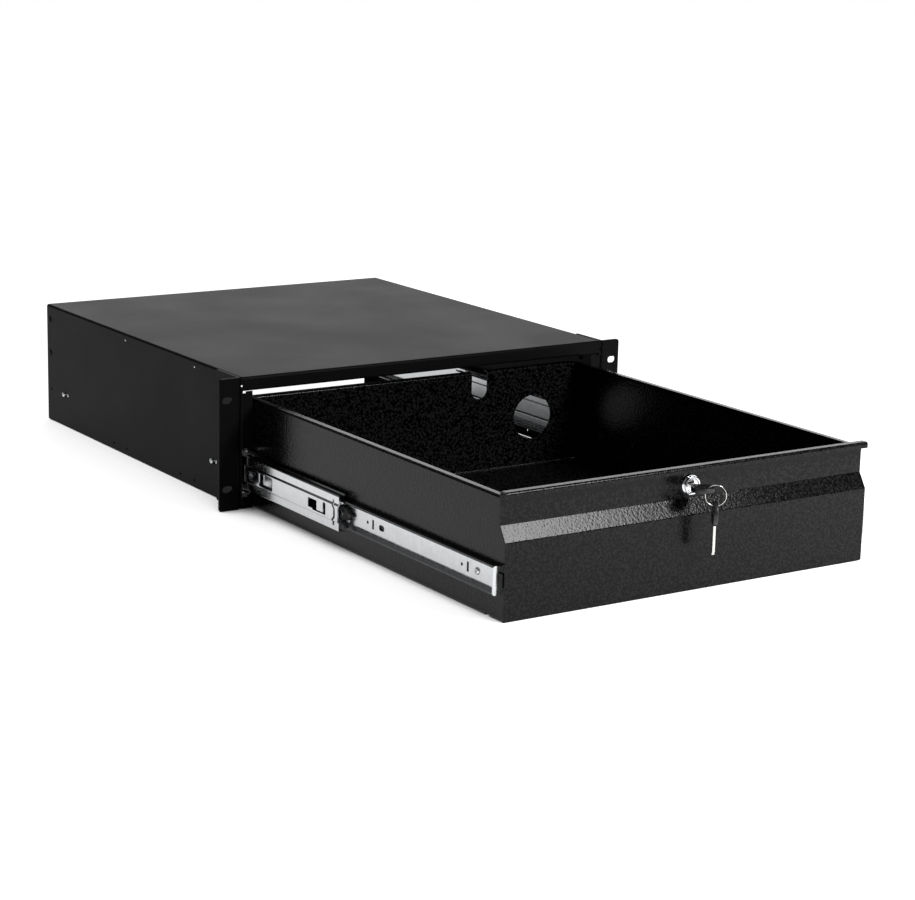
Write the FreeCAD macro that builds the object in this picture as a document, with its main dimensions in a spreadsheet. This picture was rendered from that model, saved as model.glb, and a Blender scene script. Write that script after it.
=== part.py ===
import FreeCAD, Part

import math
import os
import re

import Sketcher

# A lockable three-unit rack drawer on telescoping ball-bearing slides. Millimetres, +X to the right,
# +Y to the rear of the rack, +Z up. The origin is the centre of the four ear slots, on the ears' front
# face. Every piece is drawn where it sits when the drawer is shut, and its Placement then pulls it
# forward by its own share of the drawer's opening.

SIZES = {
    # Rack panel, to the three-unit pattern of 19 inch racks.
    "ear_span": 482.6,
    "ear_rise": 132.5,
    "ear_gauge": 2.5,
    "ear_reach": 23.5,
    "ear_leg": 46.0,
    "ear_bend": 3.5,
    "ear_corner": 3.0,
    "slot_inset": 8.75,
    "slot_up": 88.9,
    "slot_long": 10.5,
    "slot_high": 7.0,
    "ear_screw_inset": 36.0,
    "ear_screw_pitch": 42.0,
    # Case, folded from one sheet.
    "case_depth": 460.0,
    "case_gauge": 1.5,
    "case_bend": 2.6,
    "case_lift": 0.9,
    "header_drop": 14.2,
    "header_return": 14.0,
    "relief_wide": 6.0,
    "relief_high": 1.8,
    "jamb_width": 13.0,
    "jamb_return": 20.0,
    "rear_flange": 14.0,
    "fold_gap": 0.2,
    "rear_rail": 18.0,
    "rear_post": 14.8,
    "rear_corner": 6.0,
    "rivet_radius": 1.6,
    "rivet_head": 3.2,
    "rivet_rise": 0.9,
    "rivet_low": 12.0,
    "rivet_high": 50.0,
    "slide_margin": 1.5,
    "weep_radius": 1.5,
    "weep_inset": 7.0,
    "weep_front": 99.0,
    "weep_step": 31.0,
    "weep_group": 157.0,
    # Drawer box.
    "drawer_open": 434.5,
    "box_depth": 451.0,
    "box_gauge": 1.5,
    "box_bend": 2.5,
    "box_lift": 0.65,
    "box_height": 108.2,
    "box_hem": 7.0,
    "lip_rise": 4.4,
    "lip_face": 5.6,
    "recess_depth": 8.5,
    "recess_floor": 17.0,
    "band_foot": 3.3,
    "back_flange": 13.0,
    "back_hem": 5.5,
    "back_hem_gap": 0.5,
    "cable_radius": 23.8,
    "cable_across": 141.0,
    "cable_level": -12.2,
    "notch_width": 19.5,
    "notch_across": 72.5,
    "notch_depth": 29.2,
    "wall_slot_rear": 44.5,
    "wall_slot_long": 13.0,
    "wall_slot_high": 5.0,
    "relief_back": 26.5,
    "relief_radius": 2.0,
    # Ball-bearing slides. Depths are from the case wall inward, heights from the slide's centre line.
    "slide_level": -29.8,
    "slide_space": 14.7,
    "slide_gauge": 1.4,
    "slide_bend": 1.6,
    "race_bend": 0.9,
    "cabinet_front": 3.0,
    "cabinet_length": 450.0,
    "cabinet_half": 22.9,
    "cabinet_step": 0.9,
    "cabinet_reach": 10.9,
    "cabinet_lip_drop": 2.0,
    "cabinet_lip_lean": 1.1,
    "race_lead": 2.3,
    "race_run": 1.2,
    "tab_hole_inset": 3.0,
    "middle_share": 0.43,
    "middle_front": 7.8,
    "middle_length": 440.0,
    "middle_half": 17.2,
    "middle_gauge": 1.3,
    "middle_depth": 4.4,
    "ridge_rise": 1.5,
    "ridge_half": 7.6,
    "middle_reach": 10.9,
    "middle_lip": 1.1,
    "middle_lip_lean": 1.4,
    "window_front": 46.0,
    "window_long": 16.0,
    "window_high": 9.0,
    "latch_slot_front": 29.5,
    "latch_slot_long": 5.0,
    "latch_slot_high": 11.5,
    "tongue_slit": 1.5,
    "stop_front": 131.0,
    "stop_long": 27.0,
    "stop_high": 13.0,
    "port_front": 170.0,
    "port_long": 9.0,
    "port_high": 9.0,
    "brace_front": 15.6,
    "brace_wide": 3.2,
    "brace_bulge": 3.4,
    "brace_half": 12.4,
    "brace_waist": 7.4,
    "runner_front": 6.0,
    "runner_length": 444.0,
    "runner_half": 12.85,
    "runner_gauge": 1.3,
    "runner_reach": 7.3,
    "runner_lip": 1.0,
    "runner_lip_lean": 1.1,
    "screw_front": 38.6,
    "screw_step": 155.8,
    "screw_slot_lead": 14.8,
    "screw_slot_high": 9.0,
    "screw_slot_long": 3.0,
    "pilot_lead": 24.1,
    "pilot_radius": 1.6,
    "adjust_long": 9.0,
    "adjust_high": 5.5,
    "tip_hole_back": 9.7,
    "tip_hole_up": 2.3,
    "tip_hole_radius": 0.8,
    "outer_ball": 2.0,
    "outer_ball_depth": 7.3,
    "inner_ball": 1.4,
    "inner_ball_depth": 9.2,
    "ball_play": 0.12,
    "cage_gauge": 0.5,
    "cage_bend": 0.9,
    "cage_margin": 9.0,
    "outer_cage_length": 150.0,
    "outer_cage_front": 120.0,
    "inner_cage_length": 105.0,
    "inner_cage_front": 192.0,
    "outer_cage_depth": 1.95,
    "outer_cage_reach": 9.3,
    "inner_cage_depth": 6.15,
    "inner_cage_reach": 10.5,
    "cage_hole_play": 0.1,
    "bumper_half": 8.0,
    "bumper_long": 4.0,
    "bumper_reach": 10.0,
    "pad_half": 6.5,
    "pad_thick": 1.7,
    # Screws of the slides and the case.
    "case_screw_front": 61.0,
    "case_screw_rear": 417.0,
    "case_slot_lead": 4.5,
    "case_slot_long": 15.0,
    "case_slot_high": 5.0,
    "head_radius": 2.9,
    "head_rise": 1.6,
    "head_round": 1.0,
    "shank_radius": 2.0,
    "runner_head_radius": 3.4,
    "runner_head_rise": 1.5,
    # Release levers.
    "lever_pivot": 258.5,
    "lever_finger": 15.0,
    "lever_long": 20.5,
    "lever_half": 6.2,
    "lever_thick": 3.4,
    "lever_tip": 2.2,
    "lever_pin": 1.9,
    "pin_play": 0.06,
    "pin_head": 3.2,
    "pin_head_rise": 0.9,
    # Cam lock.
    "lock_level": 28.6,
    "bezel_radius": 9.0,
    "bezel_rise": 4.5,
    "bezel_round": 1.2,
    "barrel_radius": 8.0,
    "barrel_long": 24.5,
    "barrel_flat": 7.2,
    "barrel_play": 0.25,
    "plug_radius": 5.6,
    "plug_play": 0.06,
    "plug_sink": 0.8,
    "keyway_play": 0.08,
    "keyway_spare": 0.5,
    "nut_flat": 11.0,
    "nut_thick": 3.2,
    "cam_long": 27.0,
    "cam_half": 7.0,
    "cam_thick": 2.2,
    "cam_gap": 0.4,
    "cam_screw_radius": 4.2,
    "cam_screw_rise": 2.6,
    "cam_shank_radius": 2.0,
    "cam_shank_long": 6.0,
    "strike_gap": 1.0,
    "strike_half": 42.0,
    "strike_return": 17.0,
    "strike_foot": 46.0,
    "strike_notch_half": 10.0,
    "strike_notch_rise": 3.0,
    # Keys.
    "blade_thick": 2.1,
    "blade_half": 3.8,
    "blade_long": 27.0,
    "grip_long": 21.0,
    "grip_half": 11.0,
    "grip_thick": 4.4,
    "grip_round": 6.0,
    "grip_hole": 3.1,
    "grip_hole_inset": 5.2,
    "key_stand": 3.0,
    "ring_radius": 9.3,
    "ring_wire": 0.75,
    "ring_gap": 0.6,
    "ring_turn": 33.6,
    "ring_hang": 28.0,
}

doc = FreeCAD.newDocument("RackDrawer")
sheet = doc.addObject("Spreadsheet::Sheet", "Sizes")
for row, (alias, size) in enumerate(SIZES.items(), start=1):
    sheet.set(f"A{row}", alias)
    sheet.set(f"B{row}", str(size))
    sheet.setAlias(f"B{row}", alias)
doc.recompute()

X_AXIS = FreeCAD.Vector(1, 0, 0)
Y_AXIS = FreeCAD.Vector(0, 1, 0)
Z_AXIS = FreeCAD.Vector(0, 0, 1)
PLANES = {
    "XY": (FreeCAD.Rotation(), Z_AXIS),
    "XZ": (FreeCAD.Rotation(X_AXIS, 90), Y_AXIS),
    "YZ": (FreeCAD.Rotation(FreeCAD.Vector(1, 1, 1), 120), X_AXIS),
}


def in_sheet(formula):
    """Point each alias of a formula at the sheet."""
    return re.sub(r"[a-z_]+", lambda word: sheet_name(word.group(0)), str(formula))


def sheet_name(word):
    return f"Sizes.{word}" if word in SIZES else word


def value(formula):
    return float(sheet.evalExpression(in_sheet(formula)))


def bind(item, **formulas):
    """Tie properties of an object to formulas of the sheet; a double underscore stands for a dot."""
    for path, formula in formulas.items():
        item.setExpression(path.replace("__", "."), in_sheet(formula))
    return item


def place(item, across=0, back=0, up=0, turn=None):
    if turn is not None:
        item.Placement.Rotation = turn
    return bind(item, Placement__Base__x=across, Placement__Base__y=back, Placement__Base__z=up)


def add(kind, name):
    return doc.addObject(kind, name)


# ---------------------------------------------------------------- sketches and solids


def bend(before, corner, after, radius):
    """Tangent points and circle centre of an arc of this radius at a corner."""
    arrive = (corner - before).normalize()
    leave = (after - corner).normalize()
    turn = math.acos(max(-1.0, min(1.0, arrive.dot(leave))))
    reach = radius * math.tan(turn / 2)
    start = corner - arrive * reach
    end = corner + leave * reach
    left = arrive.cross(leave).z > 0
    normal = FreeCAD.Vector(-arrive.y, arrive.x, 0) if left else FreeCAD.Vector(arrive.y, -arrive.x, 0)
    return start, end, start + normal * radius, left


def outline(name, plane, corners, closed=True):
    """Draw straight runs through corners (across, up), with a tangent arc where a corner has a radius."""
    sketch = add("Sketcher::SketchObject", name)
    sketch.Placement.Rotation = PLANES[plane][0]
    points = [FreeCAD.Vector(value(corner[0]), value(corner[1]), 0) for corner in corners]
    count = len(points)
    joins = []
    for i, corner in enumerate(corners):
        inside = closed or 0 < i < count - 1
        if inside and len(corner) == 3:
            joins.append(bend(points[i - 1], points[i], points[(i + 1) % count], value(corner[2])))
        else:
            joins.append((points[i], points[i], None, None))
    runs = []
    for i in range(count if closed else count - 1):
        line = Part.LineSegment(joins[i][1], joins[(i + 1) % count][0])
        runs.append(sketch.addGeometry(line, False))
    for i, corner in enumerate(corners):
        start, end, centre, left = joins[i]
        before = runs[i - 1] if closed or i > 0 else None
        after = runs[i] if closed or i < count - 1 else None
        if centre is None:
            held, at = (after, 1) if after is not None else (before, 2)
            if before is not None and after is not None:
                sketch.addConstraint(Sketcher.Constraint("Coincident", before, 2, after, 1))
        else:
            held, at = round_corner(sketch, points[i], joins[i], before, after, corner[2])
        hold(sketch, "DistanceX", held, at, corner[0])
        hold(sketch, "DistanceY", held, at, corner[1])
    return sketch


def round_corner(sketch, point, join, before, after, radius):
    """Join two runs by a tangent arc that keeps their corner as a construction point."""
    start, end, centre, left = join
    first, last = (start, end) if left else (end, start)
    circle = Part.Circle(centre, Z_AXIS, value(radius))
    arc = Part.ArcOfCircle(circle, circle.parameter(first), circle.parameter(last))
    arc_id = sketch.addGeometry(arc, False)
    corner_id = sketch.addGeometry(Part.Point(point), True)
    sketch.addConstraint(Sketcher.Constraint("Tangent", before, 2, arc_id, 1 if left else 2))
    sketch.addConstraint(Sketcher.Constraint("Tangent", arc_id, 2 if left else 1, after, 1))
    sketch.addConstraint(Sketcher.Constraint("PointOnObject", corner_id, 1, before))
    sketch.addConstraint(Sketcher.Constraint("PointOnObject", corner_id, 1, after))
    size = sketch.addConstraint(Sketcher.Constraint("Radius", arc_id, value(radius)))
    sketch.setExpression(f"Constraints[{size}]", in_sheet(radius))
    return corner_id, 1


def hold(sketch, kind, element, at, formula):
    number = sketch.addConstraint(Sketcher.Constraint(kind, -1, 1, element, at, value(formula)))
    sketch.setExpression(f"Constraints[{number}]", in_sheet(formula))


def extrude(name, source, axis, length):
    solid = add("Part::Extrusion", name)
    solid.Base = source
    solid.DirMode = "Custom"
    solid.Dir = axis
    solid.Solid = True
    return bind(solid, LengthFwd=length)


def start_plane(sketch, plane, start):
    offset = {"XY": "up", "XZ": "back", "YZ": "across"}[plane]
    return place(sketch, **{offset: start})


def block(name, plane, corners, start, length):
    """A closed outline in a plane, pushed along the plane's own axis from start over length."""
    sketch = start_plane(outline(f"{name}_outline", plane, corners), plane, start)
    return extrude(name, sketch, PLANES[plane][1], length)


def fold(name, plane, corners, start, length, gauge, side):
    """A folded sheet: an open path through its bends, thickened to the side that lies left or right
    of its first run, and pushed along the bends."""
    sketch = start_plane(outline(f"{name}_path", plane, corners, closed=False), plane, start)
    skin = add("Part::Offset2D", f"{name}_section")
    skin.Source = sketch
    skin.Mode = "Skin"
    skin.Join = "Intersection"
    skin.Fill = True
    bind(skin, Value=gauge)
    doc.recompute()
    first, second = (FreeCAD.Vector(value(corner[0]), value(corner[1]), 0) for corner in corners[:2])
    run = (second - first).normalize()
    inward = FreeCAD.Vector(-run.y, run.x, 0) * (1 if side == "left" else -1)
    probe = first + (run + inward) * (value(gauge) / 4)
    if not skin.Shape.isInside(sketch.Placement.multVec(probe), value(gauge) / 100, True):
        bind(skin, Value=f"-({gauge})")
    return extrude(name, skin, PLANES[plane][1], length)


def rod(name, axis, radius, length, across=0, back=0, up=0):
    """A cylinder along an axis, which starts at the given place."""
    turns = {
        "X": FreeCAD.Rotation(Y_AXIS, 90),
        "Y": FreeCAD.Rotation(X_AXIS, -90),
        "Z": FreeCAD.Rotation(),
    }
    cylinder = bind(add("Part::Cylinder", name), Radius=radius, Height=length)
    return place(cylinder, across, back, up, turns[axis])


def slot(name, plane, long_axis, length, height, start, depth, across, up):
    """A round-ended slot of the given overall length, centred at (across, up) of the plane."""
    run = f"({length} - {height}) / 2"
    half = f"({height}) / 2"
    ends = []
    if long_axis == "across":
        ends = [(f"{across} - {run}", up), (f"{across} + {run}", up)]
        waist = [(-1, -1), (1, -1), (1, 1), (-1, 1)]
        corners = [(f"{across} + ({sx}) * {run}", f"{up} + ({sy}) * {half}") for sx, sy in waist]
    else:
        ends = [(across, f"{up} - {run}"), (across, f"{up} + {run}")]
        waist = [(-1, -1), (1, -1), (1, 1), (-1, 1)]
        corners = [(f"{across} + ({sx}) * {half}", f"{up} + ({sy}) * {run}") for sx, sy in waist]
    pieces = [block(f"{name}_waist", plane, corners, start, depth)]
    for number, (x, y) in enumerate(ends):
        spot = {"XZ": ("Y", x, start, y), "YZ": ("X", start, x, y)}[plane]
        pieces.append(rod(f"{name}_end_{number}", spot[0], half, depth, *spot[1:]))
    return fuse(name, pieces)


def fuse(name, shapes):
    whole = add("Part::MultiFuse", name)
    whole.Shapes = shapes
    whole.Refine = True
    return whole


def cut(name, base, tools):
    whole = add("Part::Cut", name)
    whole.Base = base
    whole.Tool = tools[0] if len(tools) == 1 else fuse(f"{name}_cutters", tools)
    whole.Refine = True
    return whole


def group(name, shapes):
    whole = add("Part::Compound", name)
    whole.Links = shapes
    return whole


def mirror(name, source):
    """The same piece on the other side of the middle plane."""
    twin = add("Part::Mirroring", name)
    twin.Source = source
    twin.Normal = X_AXIS
    return twin


def turned(name, corners):
    """A revolved solid: corners are (radius, height) along the local Z axis."""
    body = add("Part::Revolution", name)
    body.Source = outline(f"{name}_profile", "XZ", corners)
    body.Axis = Z_AXIS
    body.Angle = 360
    body.Solid = True
    return body


nodes = []


def finish(node, item):
    item.Label = node
    nodes.append(item)
    return item


def finish_pair(node, item):
    """Name the left-hand piece and add its twin on the right."""
    finish(f"{node}_left", item)
    finish(f"{node}_right", mirror(f"{node}_twin", item))


# ---------------------------------------------------------------- shared places

CASE_HALF = "(ear_span / 2 - ear_reach)"
CASE_TOP = "(ear_rise / 2)"
CASE_FOOT = "(case_lift - ear_rise / 2)"
HEADER_FOOT = "(ear_rise / 2 - header_drop)"
RIVET_BACK = "(case_depth - rear_flange / 2)"
WALL = "(ear_span / 2 - ear_reach - case_gauge)"
BOX_HALF = "(ear_span / 2 - ear_reach - case_gauge - slide_space)"
BOX_FOOT = "(box_lift - ear_rise / 2)"
BOX_TOP = "(box_lift - ear_rise / 2 + box_height)"
LIP_TOP = "(box_lift - ear_rise / 2 + box_height + lip_rise)"
DRAWER_SHIFT = "(-drawer_open)"
MIDDLE_SHIFT = "(-drawer_open * middle_share)"
OUTER_CAGE_SHIFT = "(-drawer_open * middle_share / 2)"
INNER_CAGE_SHIFT = "(-drawer_open * (1 + middle_share) / 2)"
LOCK_FACE = "(recess_depth - drawer_open)"
BAND_MITRE = "(box_gauge * tan(atan(recess_depth / (recess_floor - band_foot)) / 2))"
STRIKE_FRONT = "(recess_depth + barrel_long + cam_gap - strike_gap - case_gauge)"


def depth(formula):
    """A place across the left slide, given as a depth from the case wall."""
    return f"{formula} - {WALL}"


def level(formula):
    """A height on the slides, given from their centre line."""
    return f"slide_level + ({formula})"


# ---------------------------------------------------------------- case


def case_cover():
    """Top and sides in one sheet, with the header over the opening and a jamb down each side of it."""
    shell = fold(
        "cover_shell",
        "XZ",
        [
            (f"-{CASE_HALF}", CASE_FOOT),
            (f"-{CASE_HALF}", CASE_TOP, "case_bend"),
            (CASE_HALF, CASE_TOP, "case_bend"),
            (CASE_HALF, CASE_FOOT),
        ],
        "case_bend",
        "case_depth - case_bend",
        "case_gauge",
        "right",
    )
    header = fold(
        "cover_header",
        "YZ",
        [
            ("case_bend * 2", CASE_TOP),
            (0, CASE_TOP, "case_bend"),
            (0, HEADER_FOOT, "case_bend"),
            ("header_return", HEADER_FOOT),
        ],
        f"case_bend - {CASE_HALF}",
        f"2 * {CASE_HALF} - 2 * case_bend",
        "case_gauge",
        "left",
    )
    jamb = fold(
        "cover_jamb",
        "XY",
        [
            (f"-{CASE_HALF}", "jamb_return"),
            (f"-{CASE_HALF}", 0, "case_bend"),
            (f"jamb_width - {CASE_HALF}", 0),
        ],
        CASE_FOOT,
        f"{HEADER_FOOT} - fold_gap - {CASE_FOOT}",
        "case_gauge",
        "left",
    )
    doorway = block(
        "slide_doorway",
        "XZ",
        [
            (depth(0), level("-cabinet_half - case_gauge")),
            (depth("jamb_width + case_gauge"), level("-cabinet_half - case_gauge")),
            (depth("jamb_width + case_gauge"), level("cabinet_half + case_gauge")),
            (depth(0), level("cabinet_half + case_gauge")),
        ],
        "-case_gauge",
        "case_gauge + jamb_return",
    )
    relief = block(
        "corner_relief",
        "XZ",
        [
            (f"-{CASE_HALF}", f"{HEADER_FOOT} - relief_high - fold_gap"),
            (f"relief_wide - {CASE_HALF}", f"{HEADER_FOOT} - relief_high - fold_gap"),
            (f"relief_wide - {CASE_HALF}", HEADER_FOOT),
            (f"-{CASE_HALF}", HEADER_FOOT),
        ],
        "-case_gauge",
        "case_gauge + case_bend",
    )
    jamb_open = cut("cover_jamb_open", jamb, [doorway, relief])
    folded = fuse("cover_folded", [shell, header, jamb_open, mirror("cover_jamb_twin", jamb_open)])
    holes = []
    for number, place_back in enumerate(("case_screw_front", "case_screw_rear")):
        holes.append(
            slot(
                f"case_slot_{number}",
                "YZ",
                "across",
                "case_slot_long",
                "case_slot_high",
                f"-{CASE_HALF} - case_gauge",
                "3 * case_gauge",
                f"{place_back} - case_slot_lead",
                "slide_level",
            )
        )
    for group_number in range(2):
        for step in range(2):
            back = f"weep_front + {group_number} * weep_group + {step} * weep_step"
            holes.append(
                rod(
                    f"weep_{group_number}{step}",
                    "X",
                    "weep_radius",
                    "3 * case_gauge",
                    f"-{CASE_HALF} - case_gauge",
                    back,
                    f"{CASE_FOOT} + weep_inset",
                )
            )
    for number in (-1, 0, 1):
        holes.append(
            rod(
                f"case_ear_hole_{number + 1}",
                "X",
                "shank_radius",
                "3 * case_gauge",
                f"-{CASE_HALF} - case_gauge",
                "ear_screw_inset",
                f"({number}) * ear_screw_pitch",
            )
        )
    rear_spots = [("rivet_radius", RIVET_BACK, "rivet_low"), ("rivet_radius", RIVET_BACK, "rivet_high")]
    rear_spots.append(("pilot_radius", "cabinet_front + cabinet_length - tab_hole_inset", "slide_level"))
    for number, (radius, back, up) in enumerate(rear_spots):
        start = f"-{CASE_HALF} - case_gauge"
        holes.append(rod(f"case_rear_hole_{number}", "X", radius, "3 * case_gauge", start, back, up))
    left_holes = fuse("case_holes_left", holes)
    finish("case_cover", cut("case_cover", folded, [left_holes, mirror("case_holes_right", left_holes)]))


def case_rear_panel():
    """Rear frame of the case: a rail under the top on two posts, open below for cables, with a flange
    inside each side that is notched round the slide."""
    panel = fold(
        "rear_folded",
        "XY",
        [
            (f"-{WALL}", "case_depth - rear_flange"),
            (f"-{WALL}", "case_depth", "case_bend"),
            (WALL, "case_depth", "case_bend"),
            (WALL, "case_depth - rear_flange"),
        ],
        CASE_FOOT,
        f"{CASE_TOP} - case_bend - {CASE_FOOT}",
        "case_gauge",
        "right",
    )
    notch = block(
        "rear_slide_notch",
        "XZ",
        [
            (depth("-case_gauge"), level("-cabinet_half - slide_margin")),
            (depth("cabinet_reach + slide_margin"), level("-cabinet_half - slide_margin")),
            (depth("cabinet_reach + slide_margin"), level("cabinet_half + slide_margin")),
            (depth("-case_gauge"), level("cabinet_half + slide_margin")),
        ],
        "case_depth - rear_flange - case_gauge",
        "rear_flange - case_gauge",
    )
    opening = block(
        "rear_opening",
        "XZ",
        [
            (f"rear_post - {WALL}", f"{CASE_FOOT} - case_gauge"),
            (f"{WALL} - rear_post", f"{CASE_FOOT} - case_gauge"),
            (f"{WALL} - rear_post", f"{CASE_TOP} - rear_rail", "rear_corner"),
            (f"rear_post - {WALL}", f"{CASE_TOP} - rear_rail", "rear_corner"),
        ],
        "case_depth - 2 * case_gauge",
        "3 * case_gauge",
    )
    bores = [
        rod(
            f"rear_rivet_hole_{number}",
            "X",
            "rivet_radius",
            f"2 * {CASE_HALF}",
            f"-{CASE_HALF}",
            RIVET_BACK,
            up,
        )
        for number, up in enumerate(("rivet_low", "rivet_high"))
    ]
    notches = [notch, mirror("rear_slide_notch_twin", notch)]
    finish("case_rear_panel", cut("case_rear_panel", panel, [opening] + notches + bores))


def rear_rivets():
    """Blind rivets through each side of the case into the rear panel's flanges."""
    left = []
    for number, up in enumerate(("rivet_low", "rivet_high")):
        rivet = turned(
            f"rear_rivet_{number}",
            [
                (0, "-2 * case_gauge"),
                ("rivet_radius", "-2 * case_gauge"),
                ("rivet_radius", 0),
                ("rivet_head", 0),
                ("rivet_head", "rivet_rise", "rivet_rise * 0.9"),
                (0, "rivet_rise"),
            ],
        )
        left.append(place(rivet, f"-{CASE_HALF}", RIVET_BACK, up, FreeCAD.Rotation(Y_AXIS, -90)))
    side = group("rear_rivets_left", left)
    finish("rear_rivets", group("rear_rivets", [side, mirror("rear_rivets_right", side)]))


def ear_bracket():
    """Angle bracket outside the case: a slotted ear at the front and a leg back along the side."""
    folded = fold(
        "ear_folded",
        "XY",
        [
            ("-ear_span / 2", 0),
            (f"-{CASE_HALF}", 0, "ear_bend"),
            (f"-{CASE_HALF}", "ear_leg"),
        ],
        "-ear_rise / 2",
        "ear_rise",
        "ear_gauge",
        "left",
    )
    shape = block(
        "ear_shape",
        "XZ",
        [
            ("-ear_span / 2", "-ear_rise / 2", "ear_corner"),
            (f"ear_corner - {CASE_HALF}", "-ear_rise / 2"),
            (f"ear_corner - {CASE_HALF}", "ear_rise / 2"),
            ("-ear_span / 2", "ear_rise / 2", "ear_corner"),
        ],
        "-ear_gauge",
        "ear_leg + 2 * ear_gauge",
    )
    rounded = add("Part::MultiCommon", "ear_rounded")
    rounded.Shapes = [folded, shape]
    cutters = []
    for number, sign in enumerate((-1, 1)):
        cutters.append(
            slot(
                f"ear_slot_{number}",
                "XZ",
                "across",
                "slot_long",
                "slot_high",
                "-ear_gauge",
                "3 * ear_gauge",
                "slot_inset - ear_span / 2",
                f"({sign}) * slot_up / 2",
            )
        )
    for number in (-1, 0, 1):
        cutters.append(ear_screw(f"ear_seat_{number + 1}", number))
    finish_pair("ear_bracket", cut("ear_bracket", rounded, cutters))


def ear_screw(name, number):
    """A countersunk screw, flush with the leg's outer face and through the case wall."""
    sink = "(shank_radius + ear_gauge * 0.8)"
    screw = turned(
        name,
        [
            (0, 0),
            (sink, 0),
            ("shank_radius", "ear_gauge * 0.8"),
            ("shank_radius", "ear_gauge + case_gauge"),
            (0, "ear_gauge + case_gauge"),
        ],
    )
    return place(
        screw,
        f"-{CASE_HALF} - ear_gauge",
        "ear_screw_inset",
        f"({number}) * ear_screw_pitch",
        FreeCAD.Rotation(Y_AXIS, 90),
    )


def ear_screws():
    left = group("ear_screws_left", [ear_screw(f"ear_screw_{i + 1}", i) for i in (-1, 0, 1)])
    finish("ear_screws", group("ear_screws", [left, mirror("ear_screws_right", left)]))


def lock_strike():
    """Bracket under the case top that the lock's cam turns up behind."""
    folded = fold(
        "strike_folded",
        "YZ",
        [
            (f"{STRIKE_FRONT} + strike_return", f"{CASE_TOP} - case_gauge"),
            (STRIKE_FRONT, f"{CASE_TOP} - case_gauge", "case_bend"),
            (STRIKE_FRONT, "strike_foot"),
        ],
        "-strike_half",
        "2 * strike_half",
        "case_gauge",
        "left",
    )
    notch = block(
        "strike_notch",
        "XZ",
        [
            ("-strike_notch_half", "strike_foot - case_gauge"),
            ("strike_notch_half", "strike_foot - case_gauge"),
            ("strike_notch_half", "strike_foot + strike_notch_rise", "head_round"),
            ("-strike_notch_half", "strike_foot + strike_notch_rise", "head_round"),
        ],
        f"{STRIKE_FRONT} - case_gauge",
        "3 * case_gauge",
    )
    finish("lock_strike", cut("lock_strike", folded, [notch]))


# ---------------------------------------------------------------- slides


def mirrored_section(upper):
    """Corners of a section that is the same above and below the centre line."""
    lower = [(corner[0], f"-({corner[1]})", *corner[2:]) for corner in reversed(upper)]
    return [(depth(c[0]), level(c[1]), *c[2:]) for c in upper + lower]


def cabinet_slide():
    """Outer member, screwed to the case: a channel whose flanges are rolled into ball races."""
    section = mirrored_section(
        [
            ("cabinet_reach", "cabinet_half - cabinet_lip_drop"),
            ("cabinet_reach - cabinet_lip_lean", "cabinet_half", "slide_bend"),
            ("outer_ball_depth - race_lead", "cabinet_half", "race_bend"),
            ("outer_ball_depth - race_lead - race_run", "cabinet_half - cabinet_step", "race_bend"),
            (0, "cabinet_half - cabinet_step", "slide_bend"),
        ]
    )
    channel = fold("cabinet_channel", "XZ", section, "cabinet_front", "cabinet_length", "slide_gauge", "left")
    start = depth("-slide_gauge")
    holes = [
        rod(f"cabinet_hole_{i}", "X", "shank_radius", "3 * slide_gauge", start, back, "slide_level")
        for i, back in enumerate(("case_screw_front", "case_screw_rear"))
    ]
    finish_pair("cabinet_slide", cut("cabinet_slide", channel, holes))


def middle_slide():
    """Middle member: races outside and inside, a raised ridge down its web, and latch cut-outs in front."""
    section = mirrored_section(
        [
            ("middle_reach", "middle_half + middle_lip"),
            ("middle_reach - middle_lip_lean", "middle_half", "race_bend"),
            ("middle_depth", "middle_half", "slide_bend"),
            ("middle_depth", "ridge_half + ridge_rise", "race_bend"),
            ("middle_depth - ridge_rise", "ridge_half", "race_bend"),
        ]
    )
    channel = fold("middle_channel", "XZ", section, "middle_front", "middle_length", "middle_gauge", "left")
    openings = [
        slot_box(f"middle_{kind}", f"{kind}_front", f"{kind}_long", f"{kind}_high")
        for kind in ("latch_slot", "window", "stop", "port")
    ]
    slit = slot_box(
        "middle_tongue_slit",
        "latch_slot_front",
        "window_front - latch_slot_front + window_long / 2",
        "tongue_slit",
        "(tongue_slit - latch_slot_high) / 2",
    )
    member = cut("middle_slide", channel, openings + [slit, brace_slot()])
    finish_pair("middle_slide", place(member, back=MIDDLE_SHIFT))


def brace_slot():
    """A brace-shaped slit behind the front end, which leaves a springy lip in front of it."""
    upper = [
        ("brace_front", "brace_half"),
        ("brace_front + brace_wide", "brace_half"),
        ("brace_front + brace_wide", "brace_waist", "race_bend"),
        ("brace_front + brace_wide - brace_bulge", "brace_waist / 2", "race_bend"),
    ]
    lower = [
        ("brace_front", "-brace_half"),
        ("brace_front", "-brace_waist", "race_bend"),
        ("brace_front - brace_bulge", "-brace_waist / 2", "race_bend"),
    ]
    rear_side = upper + [(back, f"-({up})", *rest) for back, up, *rest in reversed(upper[1:])]
    front_side = lower + [(back, f"-({up})", *rest) for back, up, *rest in reversed(lower[1:])]
    corners = [(back, level(up), *rest) for back, up, *rest in rear_side + front_side]
    return block("middle_brace", "YZ", corners, depth("-slide_gauge"), "slide_space + slide_gauge")


def slot_box(name, front, long, high, up="0"):
    """A round-cornered opening through the web of a slide, up from its centre line."""
    half = f"({high}) / 2"
    corner = "min(race_bend; tongue_slit * 0.45)"
    return block(
        name,
        "YZ",
        [
            (front, level(f"{up} - {half}"), corner),
            (f"{front} + {long}", level(f"{up} - {half}"), corner),
            (f"{front} + {long}", level(f"{up} + {half}"), corner),
            (front, level(f"{up} + {half}"), corner),
        ],
        depth("-slide_gauge"),
        "slide_space + slide_gauge + box_gauge / 2",
    )


# Of the three hole groups along the inner member, those that hold a screw.
SCREWED = (0, 2)


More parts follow.
